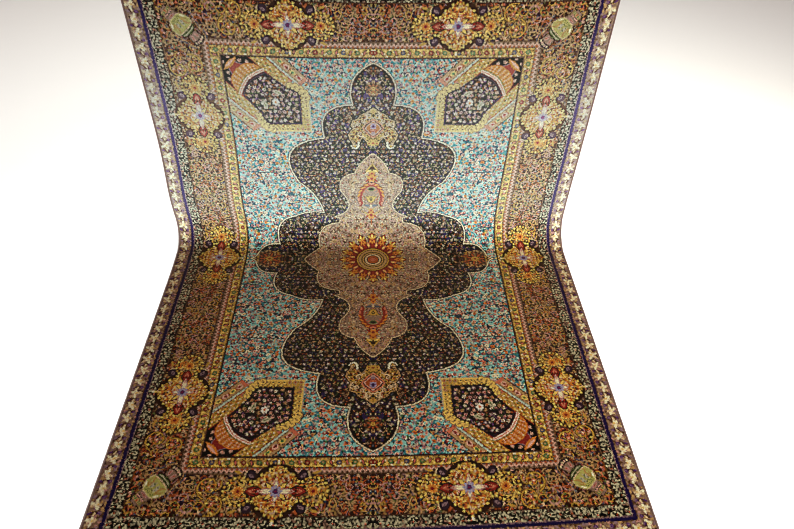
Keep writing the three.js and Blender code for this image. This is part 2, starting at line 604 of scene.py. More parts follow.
    def main_ground(self, ground: Patch) -> None:
        """Strews the main border's ground with leaves, buds and scrolls, under its large motifs."""
        dull = (Dye.BROWN, Dye.RUST, Dye.UMBER, Dye.OLIVE, Dye.PLUM)
        fine = (Dye.RUST, Dye.SLATE, Dye.CORAL, Dye.UMBER, Dye.MAUVE, Dye.OLIVE, Dye.TAN)
        buds = ((Dye.PINK, Dye.RED), (Dye.BEIGE, Dye.RUST), (Dye.SLATE, Dye.SAGE), (Dye.TAN, Dye.RUST))
        ground.leaves(17, 17, 7.0, dull)
        ground.leaves(14, 10, 4.8, fine)
        ground.scrolls(20, 14, 3.4, (Dye.TAN, Dye.RUST, Dye.TAN, Dye.RUST, Dye.KHAKI))
        ground.flowers(27, 4.6, 5, buds, 0.5)
        ground.leaves(14, 11, 4.0, (Dye.UMBER, Dye.PLUM, Dye.UMBER))
        ground.scrolls(36, 17, 3.0, (Dye.TAN, Dye.ROSE, Dye.GOLD))

    def vines(self, chart: Chart) -> None:
        """Knots large golden vine scrolls on both sides of each corner."""
        side = chart.half_width - self.MAIN_MIDDLE
        end = chart.half_length + END_TRIM - self.MAIN_MIDDLE
        places = ((side - 24, 815, 1), (side + 24, 800, -1), (452, end - 24, -1), (437, end + 24, 1))
        for across, along, hand in places:
            view = chart.view(across, along, 40)
            scroll = spiral_points(35, 1.5, 1.2, hand, 30)
            view.stroke(scroll, 8.0, Dye.UMBER, 0.3)
            view.stroke(scroll, 4.2, Dye.GOLD, 0.3)
            for i, (px, py) in enumerate(scroll[2:24:4]):
                lean = math.atan2(py, px) + 0.7 * hand
                view.leaf(px * 0.8, py * 0.8, 12, 5.0, lean, Dye.ORANGE if i % 2 else Dye.YELLOW)
            view.flower(0, 0, 6.5, 6, Dye.CORAL, Dye.CREAM, 0.0, 0.4)


@dataclass(frozen=True)
class Rosette:
    """A cross-shaped rosette of the main border: a lobed gold lozenge between two yellow palmettes."""

    across: float
    along: float
    turn: float

    def knot(self, chart: Chart) -> None:
        """Knots the rosette, its long way along the window's x."""
        view = chart.view(self.across, self.along, 170, self.turn, fold="xy")
        view.lay(np.hypot(view.x / 156, view.y / 50) * 50 - 50, Dye.UMBER, 0.8)
        view.lay(np.hypot(view.x / 72, view.y / 85) * 72 - 72, Dye.UMBER)
        self.blobs(view)
        self.palmette(view)
        self.lozenge(view)
        self.core(view)

    def strew(self, view: View, gap: np.ndarray, pitch: float, dyes: Dyes) -> None:
        """Strews small dabs of yarn thickly inside a shape."""
        chart = view.chart
        low, high = ((self.across + reach, self.along + reach) for reach in (-150, 150))
        with chart.within(gap, view):
            chart.patch(low, high).leaves(pitch, 8.6, 5.4, dyes)

    def frill(self, view: View, points: Points) -> None:
        """Knots a row of gold and yellow beads along an edge."""
        for k, (x, y) in enumerate(points):
            view.disc(x, y, 5.4, Dye.UMBER)
            view.disc(x, y, 4.2, Dye.GOLD if k % 2 else Dye.YELLOW)

    def palmette(self, view: View) -> None:
        """Knots the lobed gold palmette at each end, round an orange heart."""
        x, turn = view.x - 102, np.arctan2(view.y, view.x - 102)
        gap = np.hypot(x, view.y) - 38 - 4 * np.cos(7 * turn)
        view.lay(gap - 4, Dye.UMBER)
        view.lay(gap, Dye.BROWN)
        self.strew(view, gap, 6.8, (Dye.GOLD, Dye.YELLOW, Dye.TAN, Dye.UMBER, Dye.YELLOW, Dye.ORANGE))
        self.frill(view, [(102 + 41 * math.cos(a), 41 * math.sin(a)) for a in np.linspace(0.0, 2.4, 9)])
        view.disc(103, 0, 15, Dye.UMBER)
        for degrees in range(0, 181, 36):
            angle = math.radians(degrees)
            view.leaf(103 + 10 * math.cos(angle), 10 * math.sin(angle), 12, 7.4, angle, Dye.ORANGE)
            view.disc(103 + 13 * math.cos(angle + 0.3), 13 * math.sin(angle + 0.3), 2.4, Dye.YELLOW)
        view.disc(103, 0, 5.0, Dye.RED)

    def lozenge(self, view: View) -> None:
        """Knots the frilled gold lozenge across the border, its dabs paler to the middle."""
        edge = [(0, 84), (9, 72), (22, 67), (30, 55), (44, 49), (50, 36), (60, 29), (60, 14), (64, 0)]
        gap = view.shape(edge + [(64, FOLD_BACK)], Dye.RUST, Dye.UMBER, 3.0)
        outer = (Dye.YELLOW, Dye.BEIGE, Dye.GOLD, Dye.ORANGE, Dye.BROWN, Dye.YELLOW)
        inner = (Dye.PINK, Dye.ORANGE, Dye.BEIGE, Dye.CORAL, Dye.PINK, Dye.RUST)
        self.strew(view, gap - 1, 6.8, outer)
        self.strew(view, gap + 28, 7.8, inner)
        self.frill(view, edge[:-1])
        view.leaf(0, 90, 12, 8, QUARTER_TURN, Dye.CREAM)

    def blobs(self, view: View) -> None:
        """Knots the dim plum buds with pale crescents in the four corners of the cross."""
        view.disc(74, 48, 17, Dye.UMBER)
        view.disc(74, 48, 13.5, Dye.PLUM)
        view.leaf(73, 47, 18, 9, 0.6, Dye.MAUVE)
        view.leaf(73, 47, 10, 4, 0.6, Dye.PLUM)
        view.stroke([(86, 59), (90, 52), (90, 44), (87, 37)], 2.6, Dye.BEIGE)
        view.leaf(110, 57, 26, 8, 0.35, Dye.GOLD)

    def core(self, view: View) -> None:
        """Knots the red necks, the pale cross and the lavender star in the middle."""
        view.leaf(60, 0, 54, 34, 0.0, Dye.UMBER)
        view.leaf(60, 0, 46, 26, 0.0, Dye.RED)
        view.leaf(60, 6.5, 24, 5.0, -0.45, Dye.UMBER)
        view.leaf(66, 3.0, 20, 4.6, -0.3, Dye.CORAL)
        view.disc(54, 0, 3.6, Dye.UMBER)
        view.leaf(19, 15, 34, 15, 0.75, Dye.UMBER)
        view.leaf(18, 14, 28, 10, 0.75, Dye.YELLOW)
        view.leaf(26, 0, 54, 19, 0.0, Dye.ROSE)
        view.leaf(25, 0, 46, 12, 0.0, Dye.CREAM)
        view.leaf(0, 16, 34, 17, QUARTER_TURN, Dye.ROSE)
        view.leaf(0, 16, 27, 9, QUARTER_TURN, Dye.CREAM)
        view.leaf(40, 0, 17, 6, 0.0, Dye.PINK)
        view.disc(43, 0, 2.4, Dye.RED)
        view.flower(0, 0, 18, 8, Dye.LAVENDER, Dye.VIOLET, 0.0, 0.5)
        view.disc(0, 0, 7.6, Dye.VIOLET)
        view.disc(0, 0, 2.0, Dye.RED)


@dataclass(frozen=True)
class Vase:
    """The green-gold vase set slantwise in each corner of the main border, its mouth to the field."""

    across: float = 596.0
    along: float = 942.0
    scale: float = 0.84

    def knot(self, chart: Chart) -> None:
        """Knots the vase, its mouth up the window's y and its two sides alike."""
        window = chart.view(self.across, self.along, 130, SLANT, fold="x")
        view = View(chart, window.box, window.x / self.scale, window.y / self.scale)
        view.lay(np.hypot(view.x / 48, view.y / 90) * 48 - 48, Dye.UMBER, 0.5)
        side = [(24, 90), (33, 78), (37, 62), (37, 48), (43, 34), (47, 20), (48, 4)]
        for reach, dye in ((0, Dye.TAN), (7, Dye.SLATE)):
            view.stroke([(px + reach, py) for px, py in side], 2.6, dye, 0.3)
        self.foot(view)
        self.belly(view)
        self.neck(view)

    def foot(self, view: View) -> None:
        """Knots the stepped foot."""
        steps = (
            (-84, -78, 13, Dye.TAUPE),
            (-77, -62, 20, Dye.TAN),
            (-61, -54, 15, Dye.PLUM),
            (-54, -37, 23, Dye.TAUPE),
        )
        for low, high, half, dye in steps:
            view.lay(np.maximum(np.maximum(low - view.y, view.y - high), view.x - half), dye)
        for x in (0, 9, 17):
            view.leaf(x, -69.5, 11, 5, QUARTER_TURN, Dye.GREEN if x else Dye.RUST)
        view.lay(np.maximum(np.abs(view.y + 58) - 1.5, view.x - 18), Dye.PINK)
        view.leaf(0, -45, 32, 9, 0.0, Dye.ROSE)
        view.leaf(0, -45, 16, 4, 0.0, Dye.RUST)

    def belly(self, view: View) -> None:
        """Knots the round belly with a pale rim."""
        edge = [(0, -37), (18, -37), (31, -29), (39, -14), (41, 2), (37, 16), (30, 25), (0, 27)]
        view.shape(edge, Dye.LIME, Dye.BEIGE, 2.2)
        view.leaf(24, -2, 40, 18, 1.3, Dye.KHAKI)
        view.leaf(27, 0, 28, 7, 1.3, Dye.LIME)
        view.leaf(9, -6, 30, 12, 1.75, Dye.SAGE)
        for y, x in ((-30, 3), (-24, 9), (-18, 4), (-12, 11), (-6, 3), (0, 9), (-30, 13), (-24, 18)):
            view.disc(x, y, 2.4, Dye.OLIVE)
        view.leaf(30, -20, 20, 6, 1.0, Dye.CREAM)

    def neck(self, view: View) -> None:
        """Knots the ringed olive collar, the rose cup and the pale mouth."""
        view.shape([(0, 21), (17, 22), (33, 20), (26, 36), (14, 41), (0, 43)], Dye.OLIVE, Dye.UMBER, 2.0)
        rims = ((22, Dye.BEIGE, 3.2), (28, Dye.BOTTLE, 2.4), (33, Dye.SAGE, 2.8), (39, Dye.BOTTLE, 2.4))
        for rise, dye, width in rims:
            view.stroke([(0, rise), (15, rise), (31 - 0.5 * (rise - 22), rise - 3)], width, dye)
        view.shape([(0, 46), (17, 42), (22, 68), (0, 72)], Dye.TAUPE, Dye.UMBER, 2.2)
        view.leaf(9, 57, 26, 10, 1.4, Dye.ROSE)
        view.leaf(10, 57, 16, 4, 1.4, Dye.RUST)
        view.shape([(0, 74), (23, 70), (27, 84), (0, 90)], Dye.PLUM, Dye.UMBER, 1.6)
        for x in (0, 9, 18):
            view.leaf(x, 81 - x / 6, 10, 7.0, QUARTER_TURN, Dye.PINK if x == 9 else Dye.BEIGE)


@dataclass(frozen=True)
class Lantern:
    """The slanted lantern in each corner of the field: bowl, flowered body and gold frame between bands."""

    across: float = 489.0
    along: float = 849.0

    def knot(self, chart: Chart) -> None:
        """Knots the lantern, out of the field's corner along the window's y and its two sides alike."""
        view = chart.view(self.across, self.along, 330, SLANT, fold="x")
        self.bands(view)
        view.lay(np.maximum(view.x - 60, view.y - 128), Dye.INK)
        for x, y in ((17, 66), (30, 48), (44, 66), (14, 14), (46, 90)):
            view.flower(x, y, 5.5, 5, Dye.PINK, Dye.RUST, x, 0.45)
        self.bowl(view)
        self.frame(view)
        self.body(view)

    def bands(self, view: View) -> None:
        """Knots the two slanted bands on each side, with a pale stripe between them."""
        x, y = view.x, view.y
        view.bar(123, 19, 240, Dye.UMBER)
        view.bar(123, 16.5, 237, Dye.TAN)
        for i, run in enumerate(range(112, 232, 27)):
            view.leaf(123, run, 25, 17, QUARTER_TURN, Dye.YELLOW if i % 2 else Dye.PINK)
            view.leaf(123, run, 15, 8, QUARTER_TURN, Dye.GREEN if i % 2 else Dye.RED)
            view.leaf(123, run + 13.5, 18, 7, 0.0, Dye.RUST)
        view.lay(np.maximum(np.abs(x - 123) - 16, np.abs(y - 236) - 6), Dye.CORAL)
        view.bar(104, 5.5, 238, Dye.UMBER)
        view.bar(104, 3.6, 236, Dye.MIST)
        view.bar(79, 21, 212, Dye.RED)
        view.bar(80, 17, 208, Dye.GOLD)
        for i, run in enumerate(range(40, 206, 8)):
            for j, row in enumerate((68, 76, 84, 92)):
                dye = (Dye.YELLOW, Dye.RUST, Dye.OLIVE, Dye.CREAM)[(i + 2 * j) % 4]
                view.leaf(row, run + 4 * (j % 2), 7.5, 4.2, QUARTER_TURN, dye)
        view.lay(np.maximum(np.abs(x - 80) - 17, np.abs(y - 206) - 5), Dye.CORAL)
        both = np.maximum(np.abs(x - 102) - 38, y - 236)
        self.mottle(view, both, 13.0, (Dye.BROWN, Dye.UMBER, Dye.RUST, Dye.TAN))

    def mottle(self, view: View, gap: np.ndarray, pitch: float, dyes: Dyes) -> None:
        """Strews fine leaves inside a signed distance."""
        chart = view.chart
        low, high = ((self.across + reach, self.along + reach) for reach in (-300, 10))
        with chart.within(gap, view):
            chart.patch(low, high).leaves(pitch, 8, 3.4, dyes)

    def bowl(self, view: View) -> None:
        """Knots the foot and the orange bowl with its striped rim."""
        view.shape([(0, 40), (15, 40), (24, 62), (0, 64)], Dye.RED, Dye.MAUVE, 2.5)
        view.leaf(0, 33, 60, 19, 0.0, Dye.ORANGE)
        view.leaf(0, 31, 44, 8, 0.0, Dye.PINK)
        rim = arc_points((0, 108), (60, 125), -2.5, 7) + [(60, 125)]
        edge = arc_points((60, 122), (0, 58), 22, 9) + [(0, 58)]
        view.shape(rim + edge, Dye.ORANGE, Dye.RED, 2.0)
        lace = (Dye.RUST, Dye.PINK, Dye.RED, Dye.BEIGE)
        for row, (radius, count) in enumerate(((14, 3), (21, 4), (28, 6), (35, 7), (42, 8), (48, 9))):
            for i, angle in enumerate(np.linspace(0.0, 1.25, count)):
                px, py = radius * 1.12 * math.sin(angle), 112 - radius * math.cos(angle)
                view.leaf(px, py, 7.0, 4.0, angle, lace[(i + 2 * row) % 4])
        for drop, width, dye in ((-5, 9, Dye.IVORY), (-5, 4.4, Dye.CORAL), (-13, 3, Dye.OLIVE)):
            view.stroke([(px, py + drop) for px, py in rim], width, dye)

    def frame(self, view: View) -> None:
        """Knots the scalloped gold frame, with rust panels at its point."""
        edge = [(0, 206), (76, 206)] + arc_points((76, 206), (97, 284), -11, 9) + [(97, 284), (0, 381)]
        gap = view.shape(edge, Dye.GOLD, Dye.SAGE, 3.0)
        view.lay(np.abs(gap + 3.0) - 2.6, Dye.YELLOW)
        self.mottle(view, gap + 5.0, 9.5, (Dye.BROWN, Dye.YELLOW, Dye.TAN, Dye.RUST, Dye.OLIVE))
        for i in range(8):
            px, py = 88 - 12.5 * i, 280 + 12.5 * i
            pale, dark, hand = (Dye.TAN, Dye.RUST, 1) if px < 38 else (Dye.YELLOW, Dye.BROWN, -1)
            view.leaf(px, py, 17, 13, QUARTER_TURN / 2, pale)
            view.leaf(px, py, 10, 5, hand * QUARTER_TURN / 2, dark)
        lobes = ((80, 215), (91, 231), (96, 249), (96, 268), (88, 283))
        for size, dye in ((14.0, Dye.TAN), (12.4, Dye.BROWN), (10.8, Dye.YELLOW)):
            for px, py in lobes:
                view.disc(px, py, size, dye)
        for px, py in lobes:
            view.leaf(px, py, 16, 6.0, 0.4, Dye.KHAKI)
            view.disc(px - 5, py, 2.6, Dye.BROWN)
        bend = [(70, 211), (75, 225), (79, 238), (81, 252), (79, 266)]
        for px, py in bend + [(68, 277), (56, 289), (44, 301), (32, 313)]:
            view.disc(px + 2, py + 2, 6.4, Dye.UMBER)
            view.disc(px + 3.5, py + 3.5, 4.8, Dye.YELLOW)

    def body(self, view: View) -> None:
        """Knots the dark body, strewn with pink and cream flowers."""
        chart = view.chart
        edge = [(0, 114), (20, 117), (40, 123), (58, 131), (63, 170), (67, 207), (63, 214)]
        edge += [(72, 222), (76, 234), (79, 246), (78, 262), (0, 340)]
        gap = view.shape(edge, Dye.PLUM, Dye.UMBER, 1.5)
        view.lay(gap + 2.5, Dye.INK)
        pairs = (
            (Dye.PINK, Dye.RUST),
            (Dye.ROSE, Dye.RED),
            (Dye.CREAM, Dye.RED),
            (Dye.MAUVE, Dye.CREAM),
            (Dye.TAN, Dye.RUST),
        )
        low, high = ((self.across + reach, self.along + reach) for reach in (-260, 0))
        with chart.within(gap + 5.0, view):
            ground = chart.patch(low, high)
            ground.leaves(13, 10, 4, (Dye.OLIVE, Dye.VIOLET, Dye.BROWN, Dye.RUST))
            ground.flowers(18.5, 6.4, 5, pairs, 0.6)
            ground.leaves(13, 10, 3.8, (Dye.INK, Dye.PLUM, Dye.UMBER))
        view.leaf(33, 204, 34, 14, 1.2, Dye.SAGE)
        view.leaf(33, 204, 22, 4, 1.2, Dye.OLIVE)
        view.flower(0, 222, 13, 6, Dye.IVORY, Dye.ORANGE, 0.2, 0.4)


@dataclass(frozen=True)
class Cusp:
    """A point of a scalloped outline, and how far the curve from it to the next one bulges out."""

    across: float
    along: float
    bulge: float


def scalloped(cusps: tuple[Cusp, ...]) -> Points:
    """Gives the outline through cusps, from the side axis to the end axis, closed over the middle."""
    points: Points = [(cusps[0].across, FOLD_BACK)]
    for here, there in zip(cusps, cusps[1:]):
        points += arc_points((here.across, here.along), (there.across, there.along), -here.bulge, 12)
    return points + [(cusps[-1].across, cusps[-1].along)]


@dataclass(frozen=True)
class Field:
    """The turquoise field, strewn with flowers."""

    pairs: DyePairs = (
        (Dye.CORAL, Dye.UMBER),
        (Dye.ROSE, Dye.RED),
        (Dye.PINK, Dye.RED),
        (Dye.ORANGE, Dye.RED),
        (Dye.MAUVE, Dye.UMBER),
        (Dye.CREAM, Dye.RUST),
        (Dye.TAN, Dye.RED),
        (Dye.ROSE, Dye.VIOLET),
        (Dye.RED, Dye.PINK),
        (Dye.PINK, Dye.UMBER),
    )

    def knot(self, chart: Chart, inset: float) -> None:
        """Knots the field inside the borders."""
        gap = inset - chart.inset()
        patches = (Dye.DEEP_TEAL, Dye.AQUA, Dye.DEEP_TEAL, Dye.TEAL, Dye.AQUA)
        greens = (Dye.AQUA, Dye.MIST, Dye.DEEP_TEAL, Dye.SAGE, Dye.DEEP_TEAL, Dye.GREEN, Dye.AQUA)
        buds = ((Dye.IVORY, Dye.RED), (Dye.YELLOW, Dye.RUST), (Dye.PINK, Dye.RED))
        chart.whole().lay(gap, Dye.TEAL)
        with chart.within(gap):
            high = (chart.half_width - inset, chart.half_length - inset + END_TRIM)
            ground = chart.patch((0.0, 0.0), high)
            ground.leaves(24, 36, 21, patches)
            ground.leaves(13.5, 12.5, 5.6, greens)
            ground.flowers(19, 7.4, 5, self.pairs, 0.5)
            ground.flowers(24, 3.4, 4, buds, 0.4)
            ground.leaves(15, 10, 4.2, (Dye.DEEP_TEAL, Dye.AQUA, Dye.DEEP_TEAL, Dye.MIST, Dye.TEAL))


@dataclass(frozen=True)
class Medallion:
    """The two scalloped medallions in the middle, with a sunburst and palmettes on their axis."""

    outer: tuple[Cusp, ...] = (
        Cusp(474, 0, -3),
        Cusp(452, 18, 24),
        Cusp(365, 80, 36),
        Cusp(296, 200, 11),
        Cusp(183, 218, -17),
        Cusp(270, 360, 84),
        Cusp(174, 553, 52),
        Cusp(70, 684, 36),
        Cusp(0, 836, 0),
    )
    inner: tuple[Cusp, ...] = (
        Cusp(266, 0, 4),
        Cusp(207, 65, 38),
        Cusp(128, 170, -14),
        Cusp(143, 197, -44),
        Cusp(113, 317, 27),
        Cusp(63, 403, 9),
        Cusp(0, 487, 0),
    )
    outer_lines: tuple[tuple[float, Dye], ...] = (
        (5.2, Dye.DEEP_TEAL),
        (2.8, Dye.KHAKI),
        (1.6, Dye.CREAM),
        (-1.2, Dye.BROWN),
        (-3.2, Dye.INK),
    )
    inner_lines: tuple[tuple[float, Dye], ...] = (
        (3.4, Dye.INK),
        (1.8, Dye.BEIGE),
        (-1.4, Dye.BROWN),
        (-3.0, Dye.TAUPE),
    )
    reach: Point = (500.0, 860.0)

    def knot(self, chart: Chart) -> None:
        """Knots both medallions and what is on them."""
        gap = self.outlined(chart, self.outer, self.outer_lines)
        with chart.within(gap + 6.0):
            self.dark_ground(chart.patch(high=self.reach))
        gap = self.outlined(chart, self.inner, self.inner_lines)
        with chart.within(gap + 4.5):
            self.rose_ground(chart.patch(high=self.reach))
        self.side_palmette(chart)
        self.shield(chart)
        self.winged_palmette(chart)
        self.sunburst(chart)

    def outlined(
        self, chart: Chart, cusps: tuple[Cusp, ...], lines: tuple[tuple[float, Dye], ...]
    ) -> np.ndarray:
        """Knots a scalloped shape inside its lines.

        Args:
            chart: The chart.
            cusps: The shape's cusps.
            lines: How far past the outline each colour reaches, the last one over all that is inside.

        Returns:
            The signed distance of each point of the chart from the outline.
        """
        whole = chart.whole()
        gap = whole.inside_gap(scalloped(cusps))
        for reach, dye in lines:
            whole.lay(gap - reach, dye)
        return gap

    def dark_ground(self, ground: Patch) -> None:
        """Strews the outer medallion with small dull flowers."""
        fine = (Dye.OLIVE, Dye.SLATE, Dye.BROWN, Dye.OLIVE, Dye.RUST, Dye.UMBER)
        pairs = ((Dye.TAN, Dye.INK), (Dye.SAGE, Dye.RED), (Dye.TAUPE, Dye.INK), (Dye.MAUVE, Dye.CREAM))
        ground.leaves(23, 24, 13, (Dye.NAVY, Dye.BOTTLE, Dye.INK, Dye.UMBER))
        ground.leaves(11.5, 7.0, 3.2, fine)
        ground.flowers(22, 5.5, 5, pairs, 0.7)
        ground.flowers(19, 2.1, 4, ((Dye.BEIGE, Dye.RUST), (Dye.TAN, Dye.INK)), 0.3)
        ground.leaves(14, 9, 3.6, (Dye.INK, Dye.NAVY, Dye.BOTTLE))

    def rose_ground(self, ground: Patch) -> None:
        """Strews the inner medallion with a fine tracery."""
        ground.leaves(26, 26, 14, (Dye.TAN, Dye.TAUPE, Dye.BROWN, Dye.TAN))
        ground.leaves(8.2, 8.0, 3.6, (Dye.BROWN, Dye.TAN, Dye.BEIGE, Dye.UMBER, Dye.SAGE, Dye.ROSE))
        ground.leaves(24, 7, 3.8, (Dye.RED, Dye.RUST, Dye.CORAL))

    def side_palmette(self, chart: Chart) -> None:
        """Knots the golden-brown palmette in the outer medallion's lobe at each side, and one at each end."""
        lace = (Dye.GOLD, Dye.TAN, Dye.UMBER, Dye.TAN, Dye.RUST, Dye.UMBER)
        for across, along, turn, size in ((402, 0, 0.0, 1.0), (0, 745, QUARTER_TURN, 0.55)):
            view = chart.view(across, along, 80, turn, fold="y")
            gap = (np.hypot(view.x / 54, view.y / 47) - size) * 47
            gap = gap - 3.5 * size * np.cos(9 * np.arctan2(view.y, view.x))
            view.lay(gap, Dye.BROWN)
            low, high = (max(across - 60, 0), max(along - 60, 0)), (across + 60, along + 60)
            with chart.within(gap, view):
                chart.patch(low, high).leaves(9, 11, 5.0, lace)
            for degrees in (0, 50, 105, 158):
                angle = math.radians(degrees)
                px, py = size * 24 * math.cos(angle), size * 22 * math.sin(angle)
                view.leaf(px, py, size * 34, size * 15, angle, Dye.UMBER)
                view.leaf(px, py, size * 30, size * 9, angle, Dye.RUST)
            view.flower(0, 0, size * 15, 8, Dye.GOLD, Dye.RED, 0.0, 0.4)

    def shield(self, chart: Chart) -> None:
        """Knots the lyre-shaped palmette of gold lace, with a red lozenge, below the inner medallion."""
        view = chart.view(0, 600, 130, fold="x")
        lyre = [(0, -72), (18, -74), (26, -60), (36, -46), (46, -56), (48, -78), (60, -92), (76, -86)]
        lyre += [(72, -70), (84, -54), (89, -34), (78, -16), (70, -9), (79, 2), (74, 22), (56, 30)]
        gap = view.shape(lyre + [(44, 46), (22, 56), (0, 74)], Dye.UMBER, Dye.INK, 5.0)
        with chart.within(gap, view):
            ground = chart.patch((0, 490), (95, 690))
            ground.leaves(8.2, 9, 3.8, (Dye.GOLD, Dye.TAN, Dye.BEIGE, Dye.BROWN, Dye.RUST))
            ground.scrolls(19, 11, 3.2, (Dye.GOLD, Dye.BEIGE))
        view.lay(np.abs(gap + 1.4) - 1.3, Dye.TAN)
        for width, dye in ((11.0, Dye.INK), (7.0, Dye.CREAM)):
            view.stroke([(52, -66), (53, -82), (61, -91), (73, -87), (79, -80)], width, dye, 0.5)
        view.shape([(0, -44), (14, -34), (34, -8), (27, 6), (0, 27)], Dye.UMBER, Dye.CORAL, 3.4)
        view.shape([(0, -37), (11, -28), (27, -8), (20, 2), (0, 19)], Dye.RUST, Dye.PINK, 2.4)
        view.leaf(0, -28, 18, 15, QUARTER_TURN, Dye.MAUVE)
        view.leaf(0, -16, 34, 12, 0.0, Dye.RED)
        view.leaf(0, -15, 24, 6, 0.0, Dye.CORAL)
        view.flower(0, 0, 12, 8, Dye.LAVENDER, Dye.VIOLET, 0.0, 0.4)
        view.disc(0, 0, 7.5, Dye.VIOLET)
        view.disc(0, 0, 3.4, Dye.INK)
        for px, run, size in ((0, -68, 13), (14, -70, 8), (0, 56, 9)):
            view.flower(px, run, size, 6, Dye.GOLD, Dye.RED, 0.0, 0.4)

    def winged_palmette(self, chart: Chart) -> None:
        """Knots the red-winged palmette, and the buds above and below it, on the inner medallion's axis."""
        view = chart.view(0, 312, 190, fold="x")
        view.stroke([(0, -150), (0, 130)], 4.0, Dye.RUST)
        flames = [(43, -46, 1.75), (47, -28, 1.45), (46, -9, 1.1), (41, 9, 0.75)]
        flames += [(31, 25, 0.35), (17, 37, 0.0), (3, 42, -0.4)]
        for across, run, tilt in flames:
            view.leaf(across * 0.92, run, 31, 17, -tilt, Dye.UMBER)
        for across, run, tilt in flames:
            view.leaf(across * 0.88, run * 0.95, 32, 15.0, -tilt, Dye.RED)
            view.leaf(across, run, 23, 8.0, -tilt, Dye.ORANGE if run % 2 else Dye.CORAL)
        view.shape([(0, -24), (22, -30), (31, -8), (26, 12), (0, 28)], Dye.TAUPE, Dye.RUST, 2.5)
        for across, run in ((8, -12), (20, -14), (24, 4), (14, 14)):
            view.leaf(across, run, 13, 5, 0.7, Dye.CORAL if run > 0 else Dye.TAN)
        view.leaf(0, 18, 32, 19, 0.0, Dye.OLIVE)
        view.leaf(0, 18, 24, 12, 0.0, Dye.INK)
        view.shape([(0, -46), (12, -38), (16, -22), (25, -18), (0, -14)], Dye.GOLD, Dye.UMBER, 2.0)
        view.leaf(0, -27, 18, 11, QUARTER_TURN, Dye.INK)
        view.disc(0, -27, 2.6, Dye.YELLOW)
        view.leaf(15, -58, 22, 11, 0.2, Dye.SLATE)
        view.leaf(0, -62, 20, 7, QUARTER_TURN, Dye.BEIGE)
        for run, size in ((-105, 19), (-84, 11), (66, 17), (88, 12)):
            view.flower(0, run, size, 6, Dye.ORANGE, Dye.RED, 0.0, 0.5)
            view.leaf(0.9 * size, run - 8, 1.3 * size, 7, -0.8, Dye.RED)
            view.leaf(0.9 * size, run + 8, 1.3 * size, 6, 0.7, Dye.GOLD)
        view.shape([(0, 100), (20, 100), (0, 126)], Dye.UMBER, Dye.GOLD, 4.5)
        view.leaf(12, 100, 24, 7, -0.5, Dye.YELLOW)

    def sunburst(self, chart: Chart) -> None:
        """Knots the rings and the sixteen golden fleurs in the very middle."""
        fleurs = 16
        view = chart.view(0, 0, 150)
        away = np.hypot(view.x, view.y)
        angle = np.arctan2(view.y, view.x)
        share = math.pi / fleurs
        fold = np.abs(((angle / math.tau * fleurs + 0.5) % 1.0) - 0.5) * math.tau / fleurs
        petal = View(chart, view.box, away * np.cos(fold), away * np.sin(fold))
        petal.leaf(104, 0, 62, 33, 0.0, Dye.UMBER)
        view.lay(away - 91, Dye.UMBER)
        view.lay(away - 88, Dye.RED)
        petal.leaf(104, 0, 56, 27, 0.0, Dye.RED)
        petal.leaf(112, 9, 24, 7.5, 0.85, Dye.GOLD)
        petal.leaf(96, 6.5, 20, 7, -0.5, Dye.ORANGE)
        petal.leaf(104, 0, 44, 9, 0.0, Dye.ORANGE)
        petal.leaf(118, 0, 17, 6.5, 0.0, Dye.YELLOW)
        petal.disc(99, 0, 3.6, Dye.RED)
        px, py = 80 * math.cos(share), 80 * math.sin(share)
        for length, width, dye in ((36, 17, Dye.UMBER), (30, 12, Dye.CORAL), (17, 6, Dye.YELLOW)):
            petal.leaf(px, py, length, width, share, dye)
        rings = [(70, Dye.UMBER), (68, Dye.RED), (65, Dye.INK), (62, Dye.GOLD), (57, Dye.INK)]
        rings += [(54.5, Dye.TAN), (49, Dye.KHAKI), (45, Dye.INK), (40.5, Dye.KHAKI), (35.5, Dye.INK)]
        rings += [(31, Dye.BEIGE), (25, Dye.INK), (20.5, Dye.RUST)]
        for radius, dye in rings:
            view.lay(away - radius, dye)
        view.lay(away - 9 - 2.5 * np.cos(angle * 8), Dye.CORAL)


class RugDesign:
    """The whole design: a medallion with lanterns in the corners, in a frame of borders."""

    SEED = 41
    ROSETTE_INSET = 164.0  # distance of the rosettes' middles from the rug's edge

    def __init__(self, size: ClothSize) -> None:
        """Lays out the design for cloth of a size."""
        self.chart = Chart(size, self.SEED)
        side = self.chart.half_width - self.ROSETTE_INSET
        end = self.chart.half_length + END_TRIM - self.ROSETTE_INSET
        self.rosettes = (
            Rosette(side, 0.0, QUARTER_TURN),
            Rosette(side, 631.0, QUARTER_TURN),
            Rosette(268.0, end, 0.0),
        )

    def knots(self) -> np.ndarray:
        """Knots the design and gives the colour of every knot of one quarter."""
        chart, borders = self.chart, Borders()
        Field().knot(chart, borders.field_inset)
        Lantern().knot(chart)
        Medallion().knot(chart)
        borders.knot(chart)
        for rosette in self.rosettes:
            rosette.knot(chart)
        Vase().knot(chart)
        return chart.knots()


@dataclass(frozen=True)
class Swell:
    """A soft swell of the upright half: its place, how far it reaches each way, and how far it stands out."""

    across: float
    along: float
    wide: float
    tall: float
    out: float


